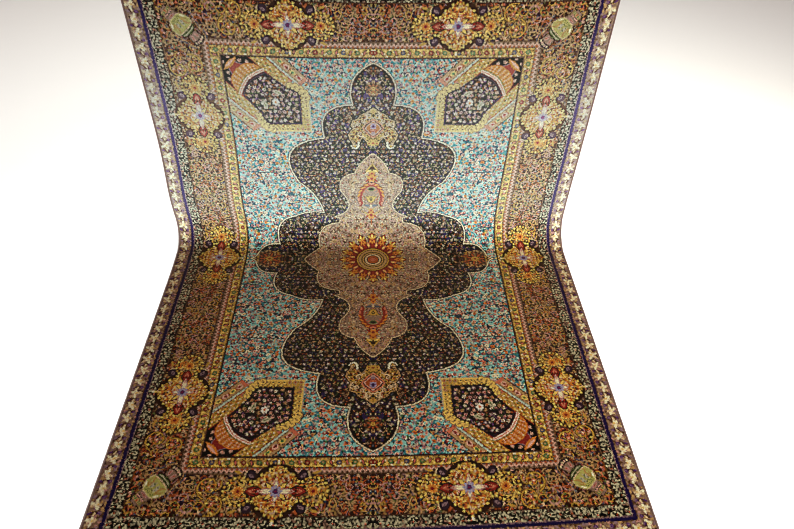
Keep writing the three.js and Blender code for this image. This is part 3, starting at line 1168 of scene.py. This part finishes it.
@dataclass(frozen=True)
class Drape:
    """The way the cloth lies: flat at the front, over a soft bend, and upright behind.

    Places on the cloth are across and along it, in metres from its middle.
    """

    size: ClothSize
    upright_y: float = 0.123
    bend_left: float = 0.095
    bend_right: float = 0.113
    row_bow: float = 0.019
    front_skew: float = 0.008
    drift_left: float = -0.015
    drift_right: float = -0.003
    drift_at: float = 0.240
    drift_reach: float = 0.180
    swell_ease: float = 0.270
    swells: tuple[Swell, ...] = (
        Swell(-0.470, 0.640, 0.250, 0.330, 0.007),
        Swell(0.060, 0.470, 0.260, 0.260, -0.005),
        Swell(0.450, 0.690, 0.270, 0.300, 0.006),
        Swell(-0.090, 0.980, 0.300, 0.240, 0.006),
    )

    def between(self, across: np.ndarray, left: float, right: float) -> np.ndarray:
        """Gives values between those of the left and the right edge."""
        return left + (right - left) * (across / self.size.width + 0.5)

    def swelling(self, across: np.ndarray, row: np.ndarray) -> np.ndarray:
        """Gives how far the upright half stands out towards its face."""
        rise = np.clip((row - self.upright_y) / self.swell_ease, 0.0, 1.0)
        out = np.zeros_like(across)
        for swell in self.swells:
            reach = ((across - swell.across) / swell.wide) ** 2 + ((row - swell.along) / swell.tall) ** 2
            out = out + swell.out * np.exp(-reach)
        return out * rise * rise * (3.0 - 2.0 * rise)

    def face(self, across: np.ndarray, along: np.ndarray) -> np.ndarray:
        """Gives points of the pile's face.

        Args:
            across: Places across the cloth.
            along: Places along the cloth.

        Returns:
            The points, before the cloth is seated in the frame.
        """
        share = across / self.size.half_width
        skew = self.front_skew * share * np.clip(-along / self.size.half_length, 0.0, 1.0)
        row = along - self.row_bow * (1.0 - share**2) + skew
        radius = self.between(across, self.bend_left, self.bend_right)
        start = self.upright_y - radius
        turned = np.clip((row - start) / radius, 0.0, QUARTER_TURN)
        risen = np.maximum(row - start - radius * QUARTER_TURN, 0.0)
        fade = np.exp(-(((row - self.drift_at) / self.drift_reach) ** 2))
        x = across + self.between(across, self.drift_left, self.drift_right) * fade
        y = np.minimum(row, start) + radius * np.sin(turned) - self.swelling(across, row)
        return np.stack([x, y, self.size.thickness + radius * (1.0 - np.cos(turned)) + risen], axis=-1)

    def axes(self, across: np.ndarray, along: np.ndarray) -> tuple[np.ndarray, np.ndarray, np.ndarray]:
        """Gives the cloth's directions: across, along and out of the pile.

        Args:
            across: Places across the cloth.
            along: Places along the cloth.

        Returns:
            Three unit vectors for each place.
        """
        step = 0.001  # metres along the cloth, from which directions are taken
        right = self.face(across + step, along) - self.face(across - step, along)
        ahead = self.face(across, along + step) - self.face(across, along - step)
        out = np.cross(right, ahead)
        right = np.cross(ahead, out)
        return tuple(v / np.linalg.norm(v, axis=-1, keepdims=True) for v in (right, ahead, out))

    def cloth(self, across: np.ndarray, along: np.ndarray, height: np.ndarray | float) -> np.ndarray:
        """Gives points at a height above the cloth's back, before it is seated."""
        lift = np.broadcast_to(np.asarray(height, float), across.shape) - self.size.thickness
        return self.face(across, along) + self.axes(across, along)[2] * lift[..., None]

    def seat(self, node: str) -> np.ndarray:
        """Gives the shift that brings the cloth into the place of its CAD node."""
        columns, rows = 91, 301  # places at which the cloth is measured
        across, along = np.meshgrid(
            np.linspace(-self.size.half_width, self.size.half_width, columns),
            np.linspace(-self.size.half_length, self.size.half_length, rows),
        )
        faces = [self.cloth(across, along, height) for height in (0.0, self.size.thickness)]
        points = np.concatenate(faces).reshape(-1, 3)
        low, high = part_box(node)
        shift = (np.array(low) + np.array(high) - points.min(axis=0) - points.max(axis=0)) / 2
        return shift * np.array([1.0, 1.0, 0.0])


Inputs = dict[int | str, object]


class Tree:
    """A node tree being wired."""

    def __init__(self, tree: bpy.types.NodeTree) -> None:
        """Starts on an empty tree."""
        self.tree = tree

    def add(self, kind: str, inputs: Inputs | None = None, **settings: object) -> bpy.types.Node:
        """Adds a node.

        Args:
            kind: Its type.
            inputs: A value for, or a socket linked to, each named or numbered input.
            settings: Its properties.

        Returns:
            The node.
        """
        node = self.tree.nodes.new(kind)
        for name, value in settings.items():
            setattr(node, name, value)
        for key, value in (inputs or {}).items():
            if isinstance(value, bpy.types.NodeSocket):
                self.tree.links.new(value, node.inputs[key])
            else:
                node.inputs[key].default_value = value
        return node

    def math(self, operation: str, a: object, b: object = 0.0, c: object = 0.0) -> bpy.types.NodeSocket:
        """Adds a sum and gives its result."""
        return self.add("ShaderNodeMath", {0: a, 1: b, 2: c}, operation=operation).outputs[0]

    def vector(self, operation: str, inputs: Inputs) -> bpy.types.NodeSocket:
        """Adds a vector sum and gives its result."""
        return self.add("ShaderNodeVectorMath", inputs, operation=operation).outputs[0]

    def noise(self, place: bpy.types.NodeSocket, scale: float, detail: float) -> bpy.types.NodeSocket:
        """Adds a noise and gives its value."""
        inputs = {"Vector": place, "Scale": scale, "Detail": detail}
        return self.add("ShaderNodeTexNoise", inputs).outputs["Fac"]

    def spread(self, value: object, low: float, high: float) -> bpy.types.NodeSocket:
        """Spreads a value from 0 to 1 between two others."""
        return self.add("ShaderNodeMapRange", {0: value, 3: low, 4: high}).outputs[0]

    def attribute(self, name: str, output: str = "Vector") -> bpy.types.NodeSocket:
        """Adds a reading of one of the mesh's attributes and gives it as a vector, or as another output."""
        return self.add("ShaderNodeAttribute", attribute_name=name).outputs[output]

    def surface(self, inputs: Inputs) -> None:
        """Adds the shader, with its inputs, and links it to the material's output."""
        shader = self.add("ShaderNodeBsdfPrincipled", inputs)
        self.add("ShaderNodeOutputMaterial", {"Surface": shader.outputs["BSDF"]})


class SharedGroup:
    """A node group that several finishes use. Its name and sockets are set by the kinds of it."""

    NAME = ""
    INPUTS: tuple[tuple[str, str], ...] = ()
    OUTPUTS: tuple[tuple[str, str], ...] = ()

    def group(self) -> bpy.types.NodeTree:
        """Gives the group, wired the first time it is asked for."""
        if self.NAME in bpy.data.node_groups:
            return bpy.data.node_groups[self.NAME]
        group = bpy.data.node_groups.new(self.NAME, "ShaderNodeTree")
        for name, kind in self.INPUTS:
            group.interface.new_socket(name=name, in_out="INPUT", socket_type=kind)
        for name, kind in self.OUTPUTS:
            group.interface.new_socket(name=name, in_out="OUTPUT", socket_type=kind)
        tree = Tree(group)
        entry = tree.add("NodeGroupInput")
        tree.add("NodeGroupOutput", self.wire(tree, entry))
        return group

    def wire(self, tree: Tree, entry: bpy.types.Node) -> dict[str, object]:
        """Wires the group and gives what goes to each output."""
        raise NotImplementedError

    def use(self, tree: Tree, inputs: Inputs) -> bpy.types.bpy_prop_collection:
        """Adds the group to a material.

        Args:
            tree: The material's tree.
            inputs: Values or sockets for the group's inputs.

        Returns:
            The group's outputs.
        """
        return tree.add("ShaderNodeGroup", inputs, node_tree=self.group()).outputs


class YarnTone(SharedGroup):
    """Uneven dye: broad bands across the rug, and a finer mottle of yarns that took more or less of it."""

    NAME = "yarn_tone"
    INPUTS = (("Colour", "NodeSocketColor"), ("Place", "NodeSocketVector"), ("Amount", "NodeSocketFloat"))
    OUTPUTS = (("Colour", "NodeSocketColor"), ("Mottle", "NodeSocketFloat"))
    STRETCH = (0.25, 1.0, 1.0)  # draws the bands out across the rug
    BAND_SCALE, BAND_DETAIL, BAND_SHARE = 14.0, 3.0, 0.35
    MOTTLE_SCALE, MOTTLE_DETAIL, MOTTLE_SHARE = 210.0, 2.0, 0.65

    def wire(self, tree: Tree, entry: bpy.types.Node) -> dict[str, object]:
        """Wires the group and gives what goes to each output."""
        place = entry.outputs["Place"]
        drawn = tree.vector("MULTIPLY", {0: place, 1: self.STRETCH})
        bands = tree.noise(drawn, self.BAND_SCALE, self.BAND_DETAIL)
        mottle = tree.noise(place, self.MOTTLE_SCALE, self.MOTTLE_DETAIL)
        broad = tree.spread(bands, -self.BAND_SHARE, self.BAND_SHARE)
        both = tree.math("ADD", broad, tree.spread(mottle, -self.MOTTLE_SHARE, self.MOTTLE_SHARE))
        value = tree.math("MULTIPLY_ADD", both, entry.outputs["Amount"], 1.0)
        tone = tree.add("ShaderNodeHueSaturation", {"Value": value, "Color": entry.outputs["Colour"]})
        return {"Colour": tone.outputs["Color"], "Mottle": mottle}


class NapNormal(SharedGroup):
    """Direction in which a cut pile faces the light: out of the cloth, and leaning the way its nap lies."""

    NAME = "nap_normal"
    INPUTS = (("Nap", "NodeSocketVector"), ("Lean", "NodeSocketFloat"))
    OUTPUTS = (("Normal", "NodeSocketVector"),)

    def wire(self, tree: Tree, entry: bpy.types.Node) -> dict[str, object]:
        """Wires the group and gives what goes to each output."""
        facing = tree.add("ShaderNodeNewGeometry").outputs["Normal"]
        lean = tree.vector("SCALE", {0: entry.outputs["Nap"], "Scale": entry.outputs["Lean"]})
        return {"Normal": tree.vector("NORMALIZE", {0: tree.vector("ADD", {0: facing, 1: lean})})}


class RowRelief(SharedGroup):
    """Heights of rows of yarn laid side by side, roughened by single fibres."""

    NAME = "row_relief"
    INPUTS = (("Place", "NodeSocketVector"), ("Across", "NodeSocketFloat"), ("Along", "NodeSocketFloat"))
    OUTPUTS = (("Height", "NodeSocketFloat"),)
    SHARES = (("Across", 0.20), ("Along", 0.30))  # height of the rows each way
    FIBRE_SCALE, FIBRE_DETAIL, FIBRE_SHARE = 900.0, 3.0, 0.5

    def wire(self, tree: Tree, entry: bpy.types.Node) -> dict[str, object]:
        """Wires the group and gives what goes to each output."""
        parts = tree.add("ShaderNodeSeparateXYZ", {0: entry.outputs["Place"]})
        waves = []
        for axis, (pitch, share) in enumerate(self.SHARES):
            rows = tree.math("DIVIDE", parts.outputs[axis], entry.outputs[pitch])
            wave = tree.math("SINE", tree.math("MULTIPLY", rows, math.tau))
            waves.append(tree.math("MULTIPLY", wave, share))
        fibres = tree.noise(entry.outputs["Place"], self.FIBRE_SCALE, self.FIBRE_DETAIL)
        rough = tree.spread(fibres, -self.FIBRE_SHARE, self.FIBRE_SHARE)
        return {"Height": tree.math("ADD", tree.math("ADD", *waves), rough)}


def new_material(name: str) -> tuple[bpy.types.Material, Tree]:
    """Starts a material and gives it with its empty tree."""
    material = bpy.data.materials.new(name)
    material.use_nodes = True
    material.node_tree.nodes.clear()
    return material, Tree(material.node_tree)


@dataclass(frozen=True)
class YarnFinish:
    """Yarn in rows: the cut pile, the knotted back or an overcast edge."""

    name: str
    unevenness: float
    across: float  # pitch of the rows each way
    along: float
    relief: float
    relief_depth: float = 0.0008
    smooth: float = 0.70
    rough: float = 0.86
    gloss: float = 0.25
    sheen: float = 0.0
    sheen_roughness: float = 0.35
    lean: float = 0.0  # how far a nap leans, where there is one

    def material(self) -> bpy.types.Material:
        """Makes the material."""
        material, tree = new_material(self.name)
        place = tree.attribute("place")
        colour = tree.attribute("design", "Color")
        tone = YarnTone().use(tree, {"Colour": colour, "Place": place, "Amount": self.unevenness})
        rows = RowRelief().use(tree, {"Place": place, "Across": self.across, "Along": self.along})
        relief = {"Strength": self.relief, "Distance": self.relief_depth, "Height": rows["Height"]}
        if self.lean:
            nap = {"Nap": tree.attribute("nap"), "Lean": self.lean}
            relief["Normal"] = NapNormal().use(tree, nap)["Normal"]
        surface = {
            "Base Color": tone["Colour"],
            "Roughness": tree.spread(tone["Mottle"], self.smooth, self.rough),
            "Normal": tree.add("ShaderNodeBump", relief).outputs["Normal"],
            "Specular IOR Level": self.gloss,
            "Sheen Weight": self.sheen,
            "Sheen Roughness": self.sheen_roughness,
        }
        tree.surface(surface)
        return material


@dataclass(frozen=True)
class FloorFinish:
    """Pale matt floor of the studio."""

    colour: tuple[float, float, float] = (0.82, 0.82, 0.82)
    unevenness: float = 0.02
    roughness: float = 0.7
    gloss: float = 0.2

    def material(self) -> bpy.types.Material:
        """Makes the material."""
        material, tree = new_material("studio_floor")
        place = tree.add("ShaderNodeTexCoord").outputs["Object"]
        inputs = {"Colour": (*self.colour, 1.0), "Place": place, "Amount": self.unevenness}
        surface = {
            "Base Color": YarnTone().use(tree, inputs)["Colour"],
            "Roughness": self.roughness,
            "Specular IOR Level": self.gloss,
        }
        tree.surface(surface)
        return material


@dataclass(frozen=True)
class Grid:
    """A flat grid of quads as Blender makes it, with the column and row of its vertices and faces."""

    thing: bpy.types.Object
    vertex_column: np.ndarray
    vertex_row: np.ndarray
    face_column: np.ndarray
    face_row: np.ndarray

    @classmethod
    def add(cls, name: str, columns: int, rows: int) -> "Grid":
        """Adds a grid.

        Args:
            name: Its name.
            columns: Number of faces across.
            rows: Number of faces along.

        Returns:
            The grid.
        """
        bpy.ops.object.select_all(action="DESELECT")
        bpy.ops.mesh.primitive_grid_add(x_subdivisions=columns, y_subdivisions=rows, size=2.0, calc_uvs=True)
        thing = bpy.context.object
        thing.name = thing.data.name = name
        thing.data.uv_layers[0].name = "OFBake"
        flat = np.zeros(3 * len(thing.data.vertices), np.float32)
        thing.data.vertices.foreach_get("co", flat)
        flat = (flat.reshape(-1, 3)[:, :2] + 1.0) / 2.0 * (columns, rows)
        corners = np.zeros(len(thing.data.loops), np.int32)
        thing.data.loops.foreach_get("vertex_index", corners)
        middles = flat[corners.reshape(-1, 4)].mean(axis=1)
        return cls(thing, *np.rint(flat).astype(int).T, *np.floor(middles).astype(int).T)

    def place(self, points: np.ndarray) -> None:
        """Moves the vertices to points, and shades the mesh smooth."""
        self.thing.data.vertices.foreach_set("co", points.astype(np.float32).ravel())
        self.thing.data.polygons.foreach_set("use_smooth", np.ones(len(self.thing.data.polygons), bool))
        self.thing.data.update()

    def vectors(self, name: str, values: np.ndarray) -> None:
        """Keeps a vector for each vertex under a name."""
        layer = self.thing.data.attributes.new(name, "FLOAT_VECTOR", "POINT")
        layer.data.foreach_set("vector", values.astype(np.float32).ravel())

    def colours(self, name: str, values: np.ndarray, domain: str) -> None:
        """Keeps a colour for each vertex or face under a name."""
        layer = self.thing.data.attributes.new(name, "FLOAT_COLOR", domain)
        opaque = np.concatenate([values, np.ones(values.shape[:-1] + (1,))], axis=-1)
        layer.data.foreach_set("color", opaque.astype(np.float32).ravel())


@dataclass(frozen=True)
class Knotting:
    """The design knotted over the whole rug: one colour a knot, rows from the laid end on.

    Above the bend a sheen is painted into the knots' colours: those rows are paled and drawn closer in tone,
    as the silk pile looks where it gleams.
    """

    SEED = 7

    size: ClothSize
    lot: float = 0.13  # how much the light of knots of one dye differs
    firm: float = 0.72  # how far a knot is set off from those round it
    around: int = 2  # how many knots away those reach
    darkest: float = 0.04
    lightest: float = 0.95
    pale: float = 0.81  # tone of the lightest knot under the painted sheen above the bend
    painted_sheen_closeness: float = 0.55  # power that draws the tones together under the painted sheen
    painted_sheen_rows: tuple[float, ...] = (0.06, 0.24, 0.45, 0.68, 1.06)  # places along the rug, in metres, where the painted sheen is set
    shares: tuple[float, ...] = (0.0, 1.05, 0.95, 1.5, 0.1)  # how much painted sheen each of those places gets

    def colours(self) -> np.ndarray:
        """Mirrors the charted quarter over the rug, each knot a little unlike its neighbours."""
        quarter = RugDesign(self.size).knots()
        half = np.concatenate([quarter[:, ::-1], quarter], axis=1)
        # painted sheen: the rows above the bend are paled in this step, besides each knot being set off
        full = self.set_off_and_paint_sheen(np.sqrt(np.concatenate([half[::-1], half], axis=0))) ** 2
        lots = np.random.default_rng(self.SEED).standard_normal(full.shape[:2] + (1,))
        return np.clip(full * (1.0 + self.lot * lots), 0.0, 1.0)

    def set_off_and_paint_sheen(self, tone: np.ndarray) -> np.ndarray:
        """Sets each knot off from those round it, and paints a sheen onto the rows above the bend by paling
        them and drawing their tones together.
        """
        rows, columns = tone.shape[:2]
        rim = (self.around, self.around)
        wide = np.pad(tone, (rim, rim, (0, 0)), mode="edge")
        span = range(2 * self.around + 1)
        around = sum(wide[i : i + rows, j : j + columns] for i in span for j in span) / len(span) ** 2
        clear = np.clip(tone + self.firm * (tone - around), self.darkest, self.lightest)
        along = ((np.arange(rows) + 0.5) / rows - 0.5) * self.size.length
        # painted sheen: how much each row above the bend is paled
        share = np.interp(along, self.painted_sheen_rows, self.shares)[:, None, None]
        return clear + share * (self.pale * clear**self.painted_sheen_closeness - clear)


@dataclass
class ClothPart:
    """A part that follows the cloth, with the way the cloth lies and what seats it in the frame."""

    size: ClothSize
    drape: Drape
    shift: np.ndarray

    def settle(self, grid: Grid, x: np.ndarray, s: np.ndarray, height: np.ndarray) -> None:
        """Lays a grid at a height above the cloth's back.

        Args:
            grid: The grid.
            x: Place of each vertex across the cloth, which the grid keeps.
            s: Its place along the cloth.
            height: Its height above the back.
        """
        grid.place(self.drape.cloth(x, s, height) + self.shift)
        grid.vectors("place", np.stack([x, s, np.zeros_like(x)], axis=-1))


@dataclass
class Pile(ClothPart):
    """The cut pile, in tiles from the laid end to the raised one, each a sheet of knots."""

    SEED = 11
    FINISH = YarnFinish(
        "silk_pile",
        unevenness=0.16,
        across=0.0056,
        along=0.0056,
        relief=0.35,
        relief_depth=0.0006,
        smooth=0.42,
        rough=0.56,
        gloss=0.1,
        sheen=0.03,
        lean=0.46,
    )

    colours: np.ndarray
    base: float  # height of the foundation above the back
    tiles: int = 5
    uneven: float = 0.00010
    pieces: list[bpy.types.Object] = field(default_factory=list)

    def build(self) -> None:
        """Makes the tiles."""
        random = np.random.default_rng(self.SEED)
        step = self.size.rows // self.tiles
        for i in range(self.tiles):
            self.pieces.append(self.tile(f"pile_{i + 1}", i * step, (i + 1) * step, random))

    def stations(self, count: int, half: float) -> tuple[np.ndarray, np.ndarray]:
        """Gives places from edge to edge with a rim at both ends, and how far each lies below the face.

        Args:
            count: Number of knots.
            half: Half of the cloth that way.

        Returns:
            The places, and their drops, of which the rims' are down to the foundation.
        """
        places = np.linspace(-half, half, count + 1)
        shoulder = self.size.shoulder
        drops = shoulder * np.clip(1.0 - (half - np.abs(places)) / shoulder, 0.0, 1.0) ** 2
        deep = self.size.thickness - self.base
        return np.pad(places, 1, mode="edge"), np.pad(drops, 1, constant_values=deep)

    def tile(self, name: str, first: int, last: int, random: np.random.Generator) -> bpy.types.Object:
        """Makes one tile.

        Args:
            name: Its name.
            first: Its first row of knots.
            last: The row after its last one.
            random: Where its unevenness comes from.

        Returns:
            The tile.
        """
        across, side_drop = self.stations(self.size.columns, self.size.half_width)
        along, end_drop = self.stations(self.size.rows, self.size.half_length)
        low = first if first == 0 else first + 1
        high = last + 2 if last == self.size.rows else last + 1
        grid = Grid.add(name, self.size.columns + 2, high - low)
        column, row = grid.vertex_column, grid.vertex_row + low
        x, s = across[column], along[row]
        drop = np.maximum(side_drop[column], end_drop[row])
        uneven = self.uneven * random.standard_normal(len(x)) * (drop == 0.0)
        inner = (row > low) & (row < high)
        height = self.size.thickness - drop + uneven * inner
        self.settle(grid, x, s, height)
        grid.vectors("nap", self.drape.axes(x, s)[1])
        knots = np.pad(self.colours, ((1, 1), (1, 1), (0, 0)), mode="edge")
        # the knot colours carry the painted sheen of the rows above the bend
        grid.colours("design", knots[grid.face_row + low, grid.face_column], "FACE")
        LOG.info("%s: rows %d to %d of knots", name, first, last)
        return grid.thing

    def dress(self) -> None:
        """Gives the tiles their finish and their place in the frame."""
        material = self.FINISH.material()
        for piece in self.pieces:
            piece.data.materials.append(material)
            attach(piece, "root")
            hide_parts("rug")


@dataclass
class Foundation(ClothPart):
    """The woven foundation under the pile, whose back shows the knots of the design, dulled by cotton."""

    FINISH = YarnFinish("knotted_back", unevenness=0.22, across=0.0056, along=0.0057, relief=0.8)

    colours: np.ndarray
    height: float = 0.0029
    columns: int = 176
    rows: int = 258
    dull: float = 0.45  # how much cotton shows between the knots of the back
    cotton: Dye = Dye.BEIGE

    def build(self) -> None:
        """Makes the back of the cloth, its edges turned up to the pile."""
        grid = Grid.add("foundation", self.columns + 2, self.rows + 2)
        across = np.linspace(-self.size.half_width, self.size.half_width, self.columns + 1)
        along = np.linspace(-self.size.half_length, self.size.half_length, self.rows + 1)
        column, row = grid.vertex_column, grid.vertex_row
        x, s = np.pad(across, 1, mode="edge")[column], np.pad(along, 1, mode="edge")[row]
        rim = (column == 0) | (column == self.columns + 2) | (row == 0) | (row == self.rows + 2)
        self.settle(grid, x, s, np.where(rim, self.height, 0.0))
        grid.colours("design", self.back_colours(x, s), "POINT")
        self.piece = grid.thing
        self.piece.data.flip_normals()
        LOG.info("foundation: %d by %d cells", self.columns, self.rows)

    def back_colours(self, x: np.ndarray, s: np.ndarray) -> np.ndarray:
        """Gives the colour of the back at places on it: the knots near each, and cotton between them."""
        knots = self.colours
        soft = sum(np.roll(knots, (i, j), axis=(0, 1)) for i in (-1, 0, 1) for j in (-1, 0, 1)) / 9.0
        column = self.nearest(x / self.size.width, self.size.columns)
        row = self.nearest(s / self.size.length, self.size.rows)
        # the knot colours here carry the painted sheen of the rows above the bend as well
        return soft[row, column] * (1.0 - self.dull) + self.cotton.linear() * self.dull

    def nearest(self, share: np.ndarray, count: int) -> np.ndarray:
        """Gives the number of the knot at a share of the cloth from its middle."""
        return np.clip((share + 0.5) * count, 0, count - 1).astype(int)

    def dress(self, pieces_on_it: list[bpy.types.Object]) -> None:
        """Args:
            pieces_on_it: The pile and the overcast edges; not used.
        """
        self.piece.data.materials.append(self.FINISH.material())
        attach(self.piece, "root")
        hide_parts("rug")


class Side(Enum):
    """A long side of the rug: which way it lies, and the CAD node of its cord."""

    LEFT = (-1, "overcast_left")
    RIGHT = (1, "overcast_right")


@dataclass
class OvercastEdge(ClothPart):
    """A cord of yarn wound round a long side of the rug."""

    FINISH = YarnFinish("overcast_yarn", unevenness=0.20, across=0.0010, along=0.0060, relief=0.6)

    side: Side
    radius: float = 0.0029
    tip_radius: float = 0.0015
    gap: float = 0.0003
    lift: float = 0.0002
    ridge: float = 0.00035
    wraps: int = 370
    rings_a_wrap: int = 3
    tip_rings: float = 4.0  # rings over which each tip tapers
    sides: int = 8
    painted_groove_shade: float = 0.75  # painted shade: tone of the yarn in the grooves, and how much more painted light the ridges get
    painted_ridge_light: float = 0.35

    def build(self) -> None:
        """Makes the cord as a ridged tube, with a few rings of the grid to each wrap."""
        hand, node = self.side.value
        rings = self.rings_a_wrap * self.wraps
        grid = Grid.add(node + "_yarn", self.sides, rings)
        turn = math.tau * grid.vertex_column / self.sides
        share = grid.vertex_row / rings
        s = (share - 0.5) * self.size.length
        edge = np.full_like(s, hand * self.size.half_width)
        right, _, out = self.drape.axes(edge, s)
        reach = self.radius + self.gap
        middle = self.drape.cloth(edge, s, self.radius + self.lift) + right * (hand * reach)
        wave = 0.5 - 0.5 * np.cos(math.tau * (grid.vertex_row / self.rings_a_wrap) + turn)
        close = np.clip(np.minimum(share, 1.0 - share) * rings / self.tip_rings, 0.0, 1.0)
        thick = (self.tip_radius + (self.radius - self.tip_radius) * close - self.ridge * wave)[:, None]
        spoke = right * np.cos(turn)[:, None] - out * np.sin(turn)[:, None]
        grid.place(middle + thick * spoke + self.shift)
        grid.vectors("place", np.stack([turn * self.radius, s, np.zeros_like(s)], axis=-1))
        dull = 0.5 * (Dye.TAUPE.linear() + Dye.MAUVE.linear())
        # painted shade in the grooves between wraps, painted light on the ridges
        tone = self.painted_groove_shade + self.painted_ridge_light * (1.0 - wave[:, None])
        grid.colours("design", np.broadcast_to(dull, (len(s), 3)) * tone, "POINT")
        self.piece = grid.thing
        self.close_tube()
        LOG.info("%s: %d wraps", self.piece.name, self.wraps)

    def close_tube(self) -> None:
        """Joins the tube's seam and fills its two ends."""
        bpy.ops.object.mode_set(mode="EDIT")
        bpy.ops.mesh.select_all(action="SELECT")
        bpy.ops.mesh.remove_doubles(threshold=1e-6)
        bpy.ops.mesh.select_all(action="DESELECT")
        bpy.ops.mesh.select_non_manifold()
        bpy.ops.mesh.fill_holes(sides=self.sides + 1)
        bpy.ops.mesh.select_all(action="SELECT")
        bpy.ops.mesh.normals_make_consistent(inside=False)
        bpy.ops.object.mode_set(mode="OBJECT")

    def dress(self, material: bpy.types.Material) -> None:
        """Gives the cord its finish and its place in the frame."""
        self.piece.data.materials.append(material)
        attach(self.piece, "root")
        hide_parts(self.side.value[1])


class Rug:
    """The whole rug: foundation, pile and two overcast edges."""

    def __init__(self) -> None:
        """Sets out the parts over one drape."""
        size = ClothSize()
        drape = Drape(size)
        shift = drape.seat("rug")
        # knot colours of the design, with a painted sheen on the rows above the bend
        colours = Knotting(size).colours()
        LOG.info("design: %d by %d knots", size.columns, size.rows)
        self.foundation = Foundation(size, drape, shift, colours)
        self.pile = Pile(size, drape, shift, colours, self.foundation.height)
        self.edges = [OvercastEdge(size, drape, shift, side) for side in Side]

    def build(self) -> None:
        """Makes every part."""
        self.pile.build()
        self.foundation.build()
        for edge in self.edges:
            edge.build()

    def dress(self) -> None:
        """Finishes every part."""
        self.pile.dress()
        yarn = OvercastEdge.FINISH.material()
        for edge in self.edges:
            edge.dress(yarn)
        self.foundation.dress(self.pile.pieces + [edge.piece for edge in self.edges])


@dataclass(frozen=True)
class SoftLight:
    """A large soft lamp of the studio."""

    name: str
    place: tuple[float, float, float]
    aim: tuple[float, float, float]
    wide: float
    tall: float
    watts: float
    colour: tuple[float, float, float]
    spread: float = 180.0
    gleams: bool = False

    def build(self) -> bpy.types.Object:
        """Hangs the lamp."""
        lamp = bpy.data.lights.new(self.name, "AREA")
        lamp.spread = math.radians(self.spread)
        lamp.shape = "RECTANGLE"
        lamp.size, lamp.size_y = self.wide, self.tall
        lamp.energy, lamp.color = self.watts, self.colour
        thing = bpy.data.objects.new(self.name, lamp)
        bpy.context.scene.collection.objects.link(thing)
        thing.location = self.place
        thing.visible_camera = False
        thing.visible_glossy = self.gleams
        thing.rotation_euler = (Vector(self.aim) - Vector(self.place)).to_track_quat("-Z", "Y").to_euler()
        LOG.info("%s: %.0f W", self.name, self.watts)
        return thing


@dataclass(frozen=True)
class Viewpoint:
    """The photo's viewpoint, found from the rug's edges and stripes, with angles in degrees."""

    place: tuple[float, float, float] = (0.00746, -1.31485, 1.6127)
    down: float = 42.214
    aside: float = 2.995
    roll: float = -2.056
    lens: float = 27.884
    sensor: float = 36.0
    nearest: float = 0.01

    def build(self) -> None:
        """Sets up the camera."""
        camera = bpy.data.cameras.new("photo_camera")
        camera.lens, camera.sensor_width, camera.sensor_fit = self.lens, self.sensor, "HORIZONTAL"
        camera.clip_start = self.nearest
        thing = bpy.data.objects.new("photo_camera", camera)
        bpy.context.scene.collection.objects.link(thing)
        pitch, yaw, roll = (math.radians(a) for a in (self.down, self.aside, self.roll))
        ahead = Vector((math.sin(yaw) * math.cos(pitch), math.cos(yaw) * math.cos(pitch), -math.sin(pitch)))
        right = Vector((math.cos(yaw), -math.sin(yaw), 0.0))
        under = ahead.cross(right)
        level = right * math.cos(roll) + under * math.sin(roll)
        under = under * math.cos(roll) - right * math.sin(roll)
        turn = Matrix((level, -under, -ahead)).transposed().to_4x4()
        thing.matrix_world = Matrix.Translation(self.place) @ turn
        bpy.context.scene.camera = thing


@dataclass(frozen=True)
class Studio:
    """Plain floor, soft lamps, low warm surroundings, and the camera."""

    lamps: tuple[SoftLight, ...] = (
        SoftLight(
            "front_key", (0.0, -2.6, 1.05), (0.0, 0.6, 0.03), 3.2, 0.4, 19.2, (0.79, 0.94, 0.91), 41.0, True
        ),
        SoftLight("side_fill", (2.0, 0.15, 1.7), (0.4, 0.1, 0.0), 1.4, 1.4, 34.0, (1.0, 0.94, 0.74)),
        SoftLight("back_fill", (0.3, 1.6, 2.8), (0.2, -0.1, 0.0), 2.0, 1.0, 9.0, (0.94, 0.98, 0.92)),
    )
    floor_wash: SoftLight = SoftLight(
        "floor_wash", (0.0, 0.0, 4.2), (0.0, 0.0, 0.0), 7.0, 7.0, 330.0, (0.98, 1.0, 0.98)
    )
    surroundings: tuple[float, float, float, float] = (1.0, 0.66, 0.50, 1.0)
    surroundings_strength: float = 0.225
    floor_size: float = 14.0
    filter_width: float = 1.0

    def build(self) -> None:
        """Sets up floor, lamps, surroundings and camera."""
        floor = self.floor()
        for lamp in self.lamps:
            lamp.build()
        wash = self.floor_wash.build()
        wash.light_linking.receiver_collection = bpy.data.collections.new("floor_only")
        wash.light_linking.receiver_collection.objects.link(floor)
        self.surround()
        bpy.context.scene.view_settings.view_transform = "Standard"
        bpy.context.scene.cycles.filter_width = self.filter_width
        Viewpoint().build()

    def floor(self) -> bpy.types.Object:
        """Lays the floor."""
        bpy.ops.object.select_all(action="DESELECT")
        bpy.ops.mesh.primitive_plane_add(size=self.floor_size, location=(0.0, 0.0, 0.0))
        floor = bpy.context.object
        floor.name = "floor"
        floor.data.materials.append(FloorFinish().material())
        return floor

    def surround(self) -> None:
        """Sets the surroundings, which light the rug but don't gleam on it."""
        world = bpy.data.worlds.new("studio")
        world.use_nodes = True
        world.node_tree.nodes.clear()
        tree = Tree(world.node_tree)
        inputs = {"Color": self.surroundings, "Strength": self.surroundings_strength}
        sky = tree.add("ShaderNodeBackground", inputs)
        tree.add("ShaderNodeOutputWorld", {"Surface": sky.outputs["Background"]})
        bpy.context.scene.world = world
        world.cycles_visibility.glossy = False


def main() -> None:
    """Builds the rug and the studio."""
    logging.basicConfig(level=logging.INFO, format="%(message)s")
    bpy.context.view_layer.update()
    rug = Rug()
    rug.build()
    rug.dress()
    Studio().build()


if __name__ == "__main__":
    main()
